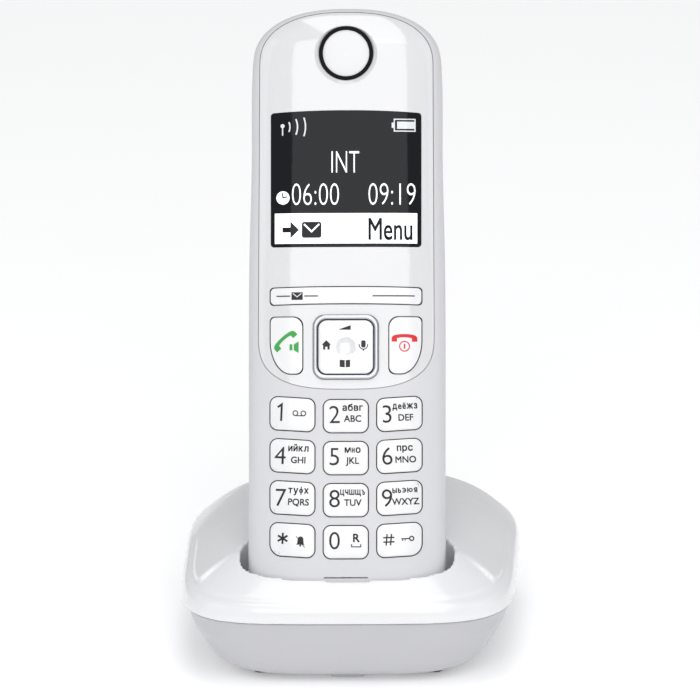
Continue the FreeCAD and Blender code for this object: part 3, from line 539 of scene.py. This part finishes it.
def arc(x: float, y: float, radius: float, start: float, stop: float,
        steps: int = 24) -> list[Point]:
    """Points along an arc.

    Args:
        x: centre across.
        y: centre along.
        radius: the arc's radius.
        start: first angle, in degrees from +x.
        stop: last angle.
        steps: how many pieces the arc is split into.
    Returns:
        The points, one more than steps.
    """
    return [(x + radius * math.cos(math.radians(start + (stop - start) * i / steps)),
             y + radius * math.sin(math.radians(start + (stop - start) * i / steps)))
            for i in range(steps + 1)]


def rounded_box(x: float, y: float, width: float, height: float, radius: float) -> list[Point]:
    """Loop round a rectangle with rounded corners.

    Args:
        x: centre across.
        y: centre along.
        width: size across.
        height: size along.
        radius: corner radius, or zero for sharp corners.
    Returns:
        The loop, counterclockwise.
    """
    dx = 0.5 * width - radius
    dy = 0.5 * height - radius
    if radius <= 0.0:
        return [(x - dx, y - dy), (x + dx, y - dy), (x + dx, y + dy), (x - dx, y + dy)]
    loop: list[Point] = []
    for sx, sy, start in ((1, 1, 0.0), (-1, 1, 90.0), (-1, -1, 180.0), (1, -1, 270.0)):
        loop += arc(x + sx * dx, y + sy * dy, radius, start, start + 90.0, 6)
    return loop


def offset(points: Sequence[Point], distance: float, closed: bool) -> list[Point]:
    """Shift a line sideways, keeping its corners mitred.

    Args:
        points: the line.
        distance: how far to its left; below zero is to its right.
        closed: whether the line joins up.
    Returns:
        The shifted line.
    """
    count = len(points)
    shifted = []
    for i in range(count):
        before = points[i - 1] if i > 0 or closed else None
        after = points[(i + 1) % count] if i < count - 1 or closed else None
        here = Vector(points[i])
        one = (here - Vector(before)).normalized() if before is not None else None
        two = (Vector(after) - here).normalized() if after is not None else None
        one = one if one is not None else two
        two = two if two is not None else one
        normal_one = Vector((-one.y, one.x))
        normal_two = Vector((-two.y, two.x))
        middle = (normal_one + normal_two)
        middle = middle.normalized() if middle.length > 1e-6 else normal_one
        stretch = 1.0 / max(0.35, middle.dot(normal_one))
        moved = here + middle * distance * stretch
        shifted.append((moved.x, moved.y))
    return shifted


def draw_envelope(art: Artwork, x: float, y: float, width: float, height: float,
                  gap: float, radius: float = 0.0) -> None:
    """Draw a filled envelope with a bent line left open for its flap.

    Args:
        art: the print it joins.
        x: centre across.
        y: centre along.
        width: size across.
        height: size along.
        gap: width of the open line.
        radius: corner radius.
    """
    dx = 0.5 * width
    dy = 0.5 * height
    fold = [(x - 0.78 * dx, y + 0.72 * dy), (x, y - 0.22 * dy), (x + 0.78 * dx, y + 0.72 * dy)]
    line = offset(fold, 0.5 * gap, False) + offset(fold, -0.5 * gap, False)[::-1]
    art.area(rounded_box(x, y, width, height, radius), line)


@dataclass
class Printer:
    """Lays flat artwork on a curved cap as a thin film of ink."""
    seat: HandsetSeat
    slice_mm: float = 0.7
    film_mm: float = 0.03
    lift_mm: float = 0.012
    start_height: float = 0.02

    def press(self, art: Artwork, host: bpy.types.Object, name: str, finish: Finish,
              body: str, slot: str, extra_lift: float = 0.0) -> bpy.types.Object:
        """Print artwork on a piece.

        Args:
            art: the artwork.
            host: the piece that it is printed on.
            name: the new piece's name.
            finish: the ink.
            body: the body that carries it.
            slot: not used.
            extra_lift: how much higher it lies than other prints, in millimetres.
        Returns:
            The print.
        """
        film = join(art.shapes, name)
        self.slice_up(film)
        film.matrix_world = self.seat.matrix() @ Matrix.Translation((0.0, 0.0, self.start_height))
        wrap = film.modifiers.new("lay_on_cap", "SHRINKWRAP")
        wrap.target = host
        wrap.wrap_method = "PROJECT"
        wrap.use_project_z = True
        wrap.use_project_x = False
        wrap.use_project_y = False
        wrap.use_negative_direction = True
        wrap.use_positive_direction = False
        wrap.offset = (self.lift_mm + self.film_mm + extra_lift) * MM
        thick = film.modifiers.new("ink_film", "SOLIDIFY")
        thick.thickness = self.film_mm * MM
        thick.offset = -1.0
        apply_modifiers(film)
        settle(film)
        dress(film, finish.make())
        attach(film, body)
        return film

    def slice_up(self, film: bpy.types.Object) -> None:
        """Cut a flat film into strips so that it can bend with the cap.

        Args:
            film: the flat mesh, changed in place.
        """
        pick(film)
        xs = [v.co.x for v in film.data.vertices]
        low = min(xs)
        high = max(xs)
        bpy.ops.object.mode_set(mode="EDIT")
        step = self.slice_mm * MM
        for i in range(1, int((high - low) / step) + 1):
            bpy.ops.mesh.select_all(action="SELECT")
            bpy.ops.mesh.bisect(plane_co=(low + i * step, 0.0, 0.0), plane_no=(1.0, 0.0, 0.0))
        bpy.ops.mesh.select_all(action="SELECT")
        bpy.ops.mesh.normals_make_consistent(inside=False)
        bpy.ops.object.mode_set(mode="OBJECT")
        if film.data.polygons and film.data.polygons[0].normal.z < 0.0:
            film.data.flip_normals()


# ---------- softened copies
@dataclass(frozen=True)
class Softener:
    """Rounds the sharp edges of a CAD node's copy, as a real mould leaves them.

    With a voxel_mm above zero the copy gets an even skin that is eased; otherwise its edges
    sharper than angle_deg are bevelled.
    """
    width_mm: float = 0.35
    angle_deg: float = 38.0
    rounds: int = 3
    weld_mm: float = 0.004
    flat_deg: float = 0.6
    smooth_deg: float = 34.0
    voxel_mm: float = 0.0
    ease_rounds: int = 10
    face_share: float = 0.42

    def copy(self, node: str, name: str, finish: Finish, body: str,
             slot: str) -> bpy.types.Object:
        """Make the softened copy that stands in for the node.

        Args:
            node: the CAD node.
            name: the copy's name.
            finish: its surface.
            body: the body that carries it.
            slot: not used.
        Returns:
            The copy.
        """
        source = frame["nodes"][node]
        pick(source)
        bpy.ops.object.duplicate()
        thing = bpy.context.view_layer.objects.active
        thing.name = name
        thing.data.name = name
        bpy.ops.object.parent_clear(type="CLEAR_KEEP_TRANSFORM")
        settle(thing)
        if thing.data.has_custom_normals:
            bpy.ops.mesh.customdata_custom_splitnormals_clear()
        bpy.ops.object.mode_set(mode="EDIT")
        bpy.ops.mesh.select_all(action="SELECT")
        bpy.ops.mesh.remove_doubles(threshold=self.weld_mm * MM)
        bpy.ops.mesh.dissolve_degenerate(threshold=self.weld_mm * MM)
        bpy.ops.mesh.dissolve_limited(angle_limit=math.radians(self.flat_deg))
        bpy.ops.mesh.normals_make_consistent(inside=False)
        bpy.ops.object.mode_set(mode="OBJECT")
        if self.voxel_mm > 0.0:
            self.skin_over(thing)
        elif self.width_mm > 0.0:
            bevel = thing.modifiers.new("soft_edges", "BEVEL")
            bevel.width = self.width_mm * MM
            bevel.segments = self.rounds
            bevel.limit_method = "ANGLE"
            bevel.angle_limit = math.radians(self.angle_deg)
            bevel.use_clamp_overlap = True
            bevel.miter_outer = "MITER_ARC"
            apply_modifiers(thing)
        pick(thing)
        if self.voxel_mm > 0.0:
            bpy.ops.object.shade_smooth()
        else:
            bpy.ops.object.shade_smooth_by_angle(angle=math.radians(self.smooth_deg))
        dress(thing, finish.make())
        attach(thing, body)
        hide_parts(node)
        return thing

    def skin_over(self, thing: bpy.types.Object) -> None:
        """Give the copy an even skin and ease every edge by about one cell of it.

        Args:
            thing: the copy, changed in place.
        """
        even = thing.modifiers.new("even_skin", "REMESH")
        even.mode = "VOXEL"
        even.voxel_size = self.voxel_mm * MM
        ease = thing.modifiers.new("eased_edges", "SMOOTH")
        ease.factor = 0.5
        ease.iterations = self.ease_rounds
        thin_out = thing.modifiers.new("fewer_faces", "DECIMATE")
        thin_out.ratio = self.face_share
        apply_modifiers(thing)


KEY_SOFTENER = Softener()
RING_SOFTENER = Softener(width_mm=0.55, rounds=5)
HOUSING_SOFTENER = Softener(voxel_mm=0.42)


# ---------- lettering
# Cyrillic letters that the font draws better as their Latin twins.
LATIN_TWINS = {"е": "e", "ё": "ë"}


@dataclass(frozen=True)
class SmallLetters:
    """Sets small bold words letter by letter, drawing the letters the font lacks."""
    x_height: float = 1.24
    stroke: float = 0.27
    gap: float = 0.24
    font_share: float = 0.76
    bold: float = 0.11

    def drawn(self, letter: str) -> Optional[tuple[float, list[tuple[list[Point], bool]]]]:
        """Look up a letter that is drawn with strokes.

        Args:
            letter: the letter.
        Returns:
            Its width and its lines, each with whether it joins up, or None for any other letter.
        """
        h = self.x_height
        b = 0.5 * self.stroke
        top = h - b
        bowl = arc(0.36, 0.3 * h, 0.3 * h - b * 0.4, 90.0, -90.0, 8)
        low_bowl = [(b, 0.6 * h - b * 0.4)] + bowl + [(b, b)]
        table = {
            "н": (0.78, [([(b, 0), (b, h)], False), ([(0.78 - b, 0), (0.78 - b, h)], False),
                         ([(b, 0.52 * h), (0.78 - b, 0.52 * h)], False)]),
            "ф": (1.06, [(arc(0.53, 0.5 * h, 0.4, 0.0, 360.0, 20)[:-1], True),
                         ([(0.53, -0.3 * h), (0.53, 1.35 * h)], False)]),
            "ь": (0.74, [([(b, 0), (b, h)], False), (low_bowl, False)]),
            "ъ": (0.98, [([(-0.02, top), (0.24 + b, top)], False),
                         ([(0.24 + b, 0), (0.24 + b, h)], False),
                         ([(x + 0.24, y) for x, y in low_bowl], False)]),
            "ы": (1.12, [([(b, 0), (b, h)], False), (low_bowl, False),
                         ([(1.12 - b, 0), (1.12 - b, h)], False)]),
            "э": (0.8, [(arc(0.3, 0.5 * h, 0.5 * h - b, 130.0, -130.0, 14), False),
                        ([(0.2, 0.5 * h), (0.8 - b, 0.5 * h)], False)]),
            "ю": (1.3, [([(b, 0), (b, h)], False), ([(b, 0.5 * h), (0.45, 0.5 * h)], False),
                        (arc(0.86, 0.5 * h, 0.44 - b * 0.4, 0.0, 360.0, 20)[:-1], True)]),
            "я": (0.82, [([(0.82 - b, 0), (0.82 - b, h)], False),
                         ([(0.82 - b, top)] + arc(0.34, 0.68 * h, 0.32 * h - b, 90.0, 270.0, 8)
                          + [(0.82 - b, 0.36 * h + b)], False),
                         ([(0.42, 0.4 * h), (0.12, 0.02)], False)]),
        }
        return table.get(letter)

    def set_word(self, art: "Artwork", word: str, x: float, y: float, width: float) -> None:
        """Set a word about a centre, fitted to a width.

        Args:
            art: the print it joins.
            word: the letters.
            x: centre across.
            y: middle of the small letters' height.
            width: the finished width.
        """
        pen = 0.0
        made: list[tuple[bpy.types.Object, float]] = []
        for letter in word:
            lines = self.drawn(letter)
            scratch = Artwork()
            letter = LATIN_TWINS.get(letter, letter)
            if lines:
                for points, closed in lines[1]:
                    scratch.stroke(points, self.stroke, closed)
            else:
                scratch.text(letter, 0.0, 0.5 * self.x_height / self.font_share,
                             self.x_height / self.font_share, 1.0, self.bold)
            xs = [v.co.x / MM for s in scratch.shapes for v in s.data.vertices]
            for shape in scratch.shapes:
                made.append((shape, pen - min(xs)))
            pen += max(xs) - min(xs) + self.gap
        full = pen - self.gap
        fit = width / full
        for shape, shift in made:
            for vertex in shape.data.vertices:
                px = (vertex.co.x / MM + shift - 0.5 * full) * fit + x
                py = vertex.co.y / MM - 0.5 * self.x_height + y
                vertex.co = art.put((px, py))
            art.shapes.append(shape)


LETTERS = SmallLetters()


# ---------- keys and their prints
@dataclass(frozen=True)
class Legend:
    """What one number key says: its digit, the small word and the Latin letters beneath."""
    node: str
    column: int
    row: int
    digit: str = ""
    small: str = ""
    latin: str = ""


@dataclass
class Keypad:
    """The four by three block of number keys with its legends."""
    printer: Printer
    column_pitch: float = 13.35
    row_pitch: float = 10.5
    low_row_y: float = 20.8
    outer_rise: float = 0.55
    skew_deg: float = 2.4
    digit_height: float = 4.45
    latin_height: float = 1.62
    latin_bold: float = 0.07
    longest_small: float = 6.3
    small_letter: float = 1.12
    small_start: float = 0.62

    LEGENDS = (
        Legend("key_1", 0, 0, "1"), Legend("key_2", 1, 0, "2", "абвг", "ABC"),
        Legend("key_3", 2, 0, "3", "деёжз", "DEF"), Legend("key_4", 0, 1, "4", "ийкл", "GHI"),
        Legend("key_5", 1, 1, "5", "мно", "JKL"), Legend("key_6", 2, 1, "6", "прс", "MNO"),
        Legend("key_7", 0, 2, "7", "туфх", "PQRS"), Legend("key_8", 1, 2, "8", "цчшщъ", "TUV"),
        Legend("key_9", 2, 2, "9", "ыьэюя", "WXYZ"), Legend("key_star", 0, 3),
        Legend("key_0", 1, 3, "0"), Legend("key_hash", 2, 3))

    def build(self) -> None:
        """Soften every cap and print its legend."""
        for legend in self.LEGENDS:
            cap = KEY_SOFTENER.copy(legend.node, legend.node + "_cap", KEY_ABS, legend.node,
                                    "key_gloss")
            art = self.draw(legend)
            self.printer.press(art, cap, legend.node + "_print", INK_BLACK, legend.node,
                               "key_gloss")
        LOG.info("number keys: %d caps with their legends", len(self.LEGENDS))

    def draw(self, legend: Legend) -> Artwork:
        """Lay out one key's legend about the key's centre.

        Args:
            legend: what the key says.
        Returns:
            The print.
        """
        side = Side(legend.column - 1).value
        y = self.low_row_y + (3 - legend.row) * self.row_pitch
        y += self.outer_rise if side else 0.0
        art = Artwork(side * self.column_pitch, y, side * self.skew_deg)
        shift = -0.3 if side else 0.0
        if legend.digit == "1":
            art.stroke([(-2.75, -2.05 + 0.25), (-2.75, 2.35), (-3.75, 1.6)], 0.5)
        elif legend.digit:
            art.text(legend.digit, -2.8 + 0.7 * shift, 0.42 + shift, self.digit_height, 0.98,
                     -0.07)
        if legend.small:
            width = min(self.longest_small,
                        self.small_start + self.small_letter * len(legend.small))
            LETTERS.set_word(art, legend.small, 1.72 + 0.9 * shift, 1.95 + 0.3 * shift, width)
        if legend.latin:
            art.text(legend.latin, 1.75 + 0.7 * shift, -0.62 + shift, self.latin_height, 0.97,
                     self.latin_bold)
        if legend.node == "key_1":
            self.draw_message_tape(art)
        elif legend.node == "key_star":
            self.draw_star(art)
        elif legend.node == "key_0":
            self.draw_zero_signs(art)
        elif legend.node == "key_hash":
            self.draw_hash(art)
        return art

    def draw_message_tape(self, art: Artwork) -> None:
        """Draw two reels on a line, for voice messages."""
        art.disc(0.75, 0.25, 0.72, 0.46).disc(2.75, 0.25, 0.72, 0.46)
        art.stroke([(0.75, -0.36), (2.75, -0.36)], 0.24)

    def draw_star(self, art: Artwork) -> None:
        """Draw a six-armed star and a crossed bell.

        Args:
            art: the print it joins.
        """
        reach = 1.4
        for degrees in (90, 30, 150):
            a = math.radians(degrees)
            dx = reach * math.cos(a)
            dy = reach * math.sin(a)
            art.stroke([(-2.45 - dx, 0.35 - dy), (-2.45 + dx, 0.35 + dy)], 0.48)
        art.area(arc(2.05, 0.25, 0.72, 0.0, 180.0, 12) + [(1.25, -0.75), (0.98, -1.1),
                                                          (3.12, -1.1), (2.85, -0.75)])
        art.disc(2.05, -1.32, 0.24)
        art.stroke([(0.95, 0.95), (3.15, -1.75)], 0.16)

    def draw_zero_signs(self, art: Artwork) -> None:
        """Draw the recall letter over an open bracket for a space."""
        art.text("R", 2.55, 1.05, 2.05, 1.0, 0.12)
        art.stroke([(1.45, -0.5), (1.45, -1.2), (3.75, -1.2), (3.75, -0.5)], 0.24)

    def draw_hash(self, art: Artwork) -> None:
        """Draw the hash sign and the key that locks the keypad.

        Args:
            art: the print it joins.
        """
        for across in (-0.55, 0.55):
            art.stroke([(-2.6 + across - 0.18, -1.3), (-2.6 + across + 0.18, 1.55)], 0.34)
            art.stroke([(-4.0, 0.12 + across), (-1.2, 0.12 + across)], 0.34)
        art.disc(3.1, 0.25, 0.66, 0.36)
        art.stroke([(2.5, 0.25), (0.5, 0.25)], 0.26)
        art.stroke([(0.85, 0.25), (0.85, -0.3)], 0.24).stroke([(1.45, 0.25), (1.45, -0.2)], 0.24)


@dataclass
class CallKeys:
    """Talk key at the left and end key at the right."""
    printer: Printer

    def build(self) -> None:
        """Soften both caps and print their signs."""
        for node in ("talk_key", "end_key"):
            cap = KEY_SOFTENER.copy(node, node + "_cap", KEY_ABS, node, "key_gloss")
            art = self.draw_talk() if node == "talk_key" else self.draw_end()
            ink = INK_GREEN if node == "talk_key" else INK_RED
            self.printer.press(art, cap, node + "_print", ink, node, "key_gloss")
        LOG.info("call keys: two caps with their signs")

    def receiver(self, x: float, y: float, lean: float, size: float) -> list[Point]:
        """Loop round a telephone receiver, bowed upward.

        Args:
            x: centre across.
            y: centre along.
            lean: how far it is turned, in degrees.
            size: 1 for a receiver 6.4 mm long.
        Returns:
            The loop.
        """
        half = [(0.0, 0.95), (1.0, 0.92), (2.0, 0.8), (2.7, 0.6), (3.1, 0.25), (3.2, -0.2),
                (3.2, -0.95), (1.85, -0.95), (1.85, -0.1), (1.0, 0.1), (0.0, 0.16)]
        loop = half + [(-px, py) for px, py in half[::-1][1:-1]]
        c = math.cos(math.radians(lean)) * size
        s = math.sin(math.radians(lean)) * size
        return [(x + px * c - py * s, y + px * s + py * c) for px, py in loop]

    def draw_talk(self) -> Artwork:
        """Draw the slanting receiver with a loudspeaker beside it.

        Returns:
            The print.
        """
        art = Artwork()
        art.area(self.receiver(-15.3, 71.3, 41.0, 1.06))
        art.box(-13.7, 69.55, 0.72, 1.5)
        art.area([(-13.0, 68.8), (-11.78, 68.1), (-11.78, 71.0), (-13.0, 70.3)])
        return art

    def draw_end(self) -> Artwork:
        """Draw the flat receiver over a power sign.

        Returns:
            The print.
        """
        art = Artwork()
        art.area(self.receiver(14.64, 71.85, 0.0, 1.0))
        art.disc(14.66, 69.74, 1.36, 1.08).box(14.66, 69.74, 0.36, 1.2)
        return art


@dataclass
class FourWayKey:
    """Pearl four-way key in its ring, with black signs round the middle."""
    printer: Printer
    middle_y: float = 69.55

    def build(self) -> None:
        """Soften the ring and the key, print the signs and lay the painted shade round the middle
        dimple.
        """
        ring = RING_SOFTENER.copy("nav_frame", "nav_ring", CHROME_LACQUER, "handset",
                                  "nav_silver")
        key = KEY_SOFTENER.copy("nav_key", "nav_key_cap", PEARL, "nav_key", "nav_silver")
        self.printer.press(self.draw(), key, "nav_key_print", INK_BLACK, "nav_key", "nav_silver")
        # Painted shade: a pale grey arc round the middle, open at its foot, stands for the shade on
        # the rim of the key's dimple.
        dimple = Artwork().stroke(arc(0.0, self.middle_y, 2.32, -50.0, 230.0, 40), 0.26)
        self.printer.press(dimple, key, "nav_dimple_shade_paint", DIMPLE_SHADE_PAINT, "nav_key", "nav_silver")
        LOG.info("four-way key: %s and its four signs", ring.name)

    def draw(self) -> Artwork:
        """Draw the volume wedge, house, microphone and book.

        Returns:
            The print.
        """
        art = Artwork()
        art.area([(-1.65, 73.85), (1.25, 73.85), (1.25, 75.0), (-1.65, 74.0)])
        art.area([(-6.0, 70.1), (-4.83, 71.25), (-3.66, 70.1), (-4.0, 70.1), (-4.0, 68.9),
                  (-4.55, 68.9), (-4.55, 69.6), (-5.1, 69.6), (-5.1, 68.9), (-5.66, 68.9),
                  (-5.66, 70.1)])
        art.box(4.42, 70.3, 1.12, 1.8, 0.42)
        art.stroke([(3.35, 70.3)] + arc(4.42, 70.05, 1.07, 184.0, 356.0, 12) + [(5.49, 70.3)],
                   0.24)
        art.stroke([(4.42, 69.0), (4.42, 68.6)], 0.3)
        art.area([(-0.24, 66.25), (-1.5, 66.35), (-1.5, 64.55), (-0.24, 64.45)])
        art.area([(0.0, 64.45), (1.1, 64.55), (1.1, 66.35), (0.0, 66.25)])
        return art


@dataclass
class SoftKey:
    """Long rocking bar under the display."""
    printer: Printer
    middle_y: float = 82.35

    def build(self) -> None:
        """Soften the bar and print its marks."""
        cap = KEY_SOFTENER.copy("softkey_bar", "softkey_cap", KEY_ABS, "softkey_bar", "key_gloss")
        art = Artwork()
        y = self.middle_y
        art.box(-15.64, y, 3.44, 0.28).box(-8.64, y, 3.44, 0.28).box(11.95, y, 10.5, 0.28)
        draw_envelope(art, -12.17, y, 2.8, 1.9, 0.22)
        self.printer.press(art, cap, "softkey_print", INK_BLACK, "softkey_bar", "key_gloss")
        LOG.info("softkey: bar with its marks")


@dataclass
class Display:
    """Lit picture seen on the black lens."""
    printer: Printer
    half_width: float = 17.8
    low_y: float = 95.5
    bar_top_y: float = 103.1
    digits: float = 5.7
    sign_lift: float = 0.05

    def build(self) -> None:
        """Lay the lit shapes on the lens."""
        self.lay("display_bar", self.draw_bar(), PIXEL_WHITE)
        self.lay("display_bar_signs", self.draw_bar_signs(), PIXEL_DARK)
        self.lay("display_clock", self.draw_clock(), PIXEL_WHITE)
        self.lay("display_signs", self.draw_signs(), PIXEL_GREY)
        LOG.info("display: four lit layers")

    def lay(self, name: str, art: Artwork, finish: Finish) -> None:
        """Put one layer on the lens; the bar's signs lie above the bar.

        Args:
            name: the layer's name.
            art: its artwork.
            finish: the lit or unlit surface.
        """
        lift = self.sign_lift if name == "display_bar_signs" else 0.0
        self.printer.press(art, frame["nodes"]["display_lens"], name, finish, "handset",
                           "lens_black", lift)

    def draw_bar(self) -> Artwork:
        """Draw the white bar along the foot of the picture.

        Returns:
            The print.
        """
        art = Artwork()
        y = 0.5 * (self.low_y + self.bar_top_y)
        return art.box(0.0, y, 2.0 * self.half_width, self.bar_top_y - self.low_y)

    def draw_bar_signs(self) -> Artwork:
        """Draw the arrow, the envelope and the menu word on the bar, and the clock's hands.

        Returns:
            The print.
        """
        art = Artwork()
        art.area([(-11.7, 98.95), (-13.85, 101.05), (-13.85, 99.55), (-15.86, 99.55),
                  (-15.86, 98.35), (-13.85, 98.35), (-13.85, 96.85)])
        draw_envelope(art, -8.56, 98.95, 4.9, 4.0, 0.42, 0.6)
        art.text("Menu", 11.1, 99.2, 5.5, 0.65, 0.12)
        art.stroke([(-15.95, 108.2), (-15.7, 107.0), (-14.75, 107.25)], 0.3)
        return art

    def draw_clock(self) -> Artwork:
        """Draw the name line, both times and the clock's disc.

        Returns:
            The print.
        """
        art = Artwork()
        art.text("INT", -0.27, 116.0, self.digits, 0.56, -0.2)
        art.text("06:00", -7.6, 107.95, self.digits, 0.68, -0.26)
        art.text("09:19", 11.55, 107.95, self.digits, 0.68, -0.26)
        art.disc(-15.74, 107.0, 1.67)
        return art

    def draw_signs(self) -> Artwork:
        """Draw the field strength and the battery.

        Returns:
            The print.
        """
        art = Artwork()
        art.stroke([(-15.85, 122.6), (-15.85, 124.9)], 0.32)
        art.disc(-15.85, 125.0, 0.52)
        for reach, spread in ((2.9, 25.0), (4.8, 24.0), (6.8, 20.0)):
            art.stroke(arc(-16.9, 124.75, reach, -spread, spread, 10), 0.36)
        art.stroke([(12.1, 123.65), (17.25, 123.65), (17.25, 126.6), (12.1, 126.6)], 0.3, True)
        art.box(11.7, 125.1, 0.5, 1.3).box(14.95, 125.12, 4.3, 1.8)
        return art


@dataclass
class BaseHousing:
    """Upper moulding of the base, with the soft creases of its real edges."""

    def build(self) -> None:
        """Soften the upper moulding; the lower one stays as the frame has it."""
        HOUSING_SOFTENER.copy("base_upper_shell", "base_housing", BASE_ABS, "base", "cover_gloss")
        LOG.info("base: upper housing softened")


# ---------- studio
@dataclass(frozen=True)
class Panel:
    """One soft rectangular light; azimuth 0 is in front, and sizes are in metres."""
    name: str
    azimuth_deg: float
    elevation_deg: float
    distance: float
    width: float
    height: float
    power: float


@dataclass
class Studio:
    """Camera, lights and a pale floor under the phone."""
    aim: tuple[float, float, float] = (0.00048, 0.0, 0.07467)
    azimuth_deg: float = -2.28
    elevation_deg: float = 18.0
    distance: float = 4.0
    lens_mm: float = 821.3
    sensor_mm: float = 36.0
    roll_deg: float = -0.85
    floor_size: float = 8.0
    room_colour: str = "f2f3f5"
    room_strength: float = 0.5

    PANELS = (
        Panel("front_softbox", 1.0, 30.0, 1.5, 0.98, 1.1, 6.6),
        Panel("top_softbox", 15.0, 78.0, 1.3, 0.6, 1.6, 7.0),
        Panel("left_fill", -70.0, 25.0, 1.6, 0.8, 1.4, 2.2),
        Panel("right_fill", 75.0, 25.0, 1.6, 0.8, 1.4, 1.8))

    def build(self) -> None:
        """Set up the whole studio."""
        self.add_camera()
        self.add_floor()
        self.add_world()
        for panel in self.PANELS:
            self.add_panel(panel)
        LOG.info("studio: camera, floor and %d lights", len(self.PANELS))

    def spot_at(self, azimuth: float, elevation: float, distance: float) -> Vector:
        """Point seen from the aim in a direction.

        Args:
            azimuth: degrees round the phone, 0 in front and growing to its right.
            elevation: degrees above the horizon.
            distance: metres from the aim.
        Returns:
            The point.
        """
        a = math.radians(azimuth)
        e = math.radians(elevation)
        way = Vector((math.sin(a) * math.cos(e), -math.cos(a) * math.cos(e), math.sin(e)))
        return Vector(self.aim) + way * distance

    def add_camera(self) -> None:
        """Add the camera and make it the scene's."""
        data = bpy.data.cameras.new("studio_camera")
        data.lens = self.lens_mm
        data.sensor_width = self.sensor_mm
        camera = bpy.data.objects.new("studio_camera", data)
        bpy.context.collection.objects.link(camera)
        camera.location = self.spot_at(-self.azimuth_deg, self.elevation_deg, self.distance)
        gaze = Vector(self.aim) - camera.location
        roll = Matrix.Rotation(math.radians(self.roll_deg), 4, "Z")
        camera.rotation_euler = (gaze.to_track_quat("-Z", "Y").to_matrix().to_4x4()
                                 @ roll).to_euler()
        bpy.context.scene.camera = camera

    def add_panel(self, panel: Panel) -> None:
        """Add one soft light that faces the phone.

        Args:
            panel: its place, size and power.
        """
        data = bpy.data.lights.new(panel.name, "AREA")
        data.shape = "RECTANGLE"
        data.size = panel.width
        data.size_y = panel.height
        data.energy = panel.power
        light = bpy.data.objects.new(panel.name, data)
        bpy.context.collection.objects.link(light)
        light.location = self.spot_at(panel.azimuth_deg, panel.elevation_deg, panel.distance)
        gaze = Vector(self.aim) - light.location
        light.rotation_euler = gaze.to_track_quat("-Z", "Y").to_euler()

    def add_floor(self) -> None:
        """Add the flat pale floor."""
        deselect()
        bpy.ops.mesh.primitive_plane_add(size=self.floor_size, location=(0.0, 0.0, 0.0))
        floor = bpy.context.object
        floor.name = "floor"
        dress(floor, FLOOR.make())

    def add_world(self) -> None:
        """Add an even pale surround."""
        world = bpy.data.worlds.new("pale_room")
        world.use_nodes = True
        ground = world.node_tree.nodes["Background"]
        ground.inputs["Color"].default_value = srgb(self.room_colour)
        ground.inputs["Strength"].default_value = self.room_strength
        bpy.context.scene.world = world
        bpy.context.scene.view_settings.view_transform = "Standard"


def dress_frame() -> None:
    """Give every carried-over CAD node its finish."""
    for finish, names in NODE_FINISHES.items():
        for name in names:
            dress(frame["nodes"][name], finish.make())
    LOG.info("dressed %d CAD nodes", sum(len(n) for n in NODE_FINISHES.values()))


def main() -> None:
    """Build and dress the phone, piece by piece."""
    logging.basicConfig(level=logging.INFO, format="%(name)s: %(message)s")
    Studio().build()
    dress_frame()
    printer = Printer(HandsetSeat())
    Keypad(printer).build()
    CallKeys(printer).build()
    FourWayKey(printer).build()
    SoftKey(printer).build()
    Display(printer).build()
    BaseHousing().build()


if __name__ == "__main__":
    main()
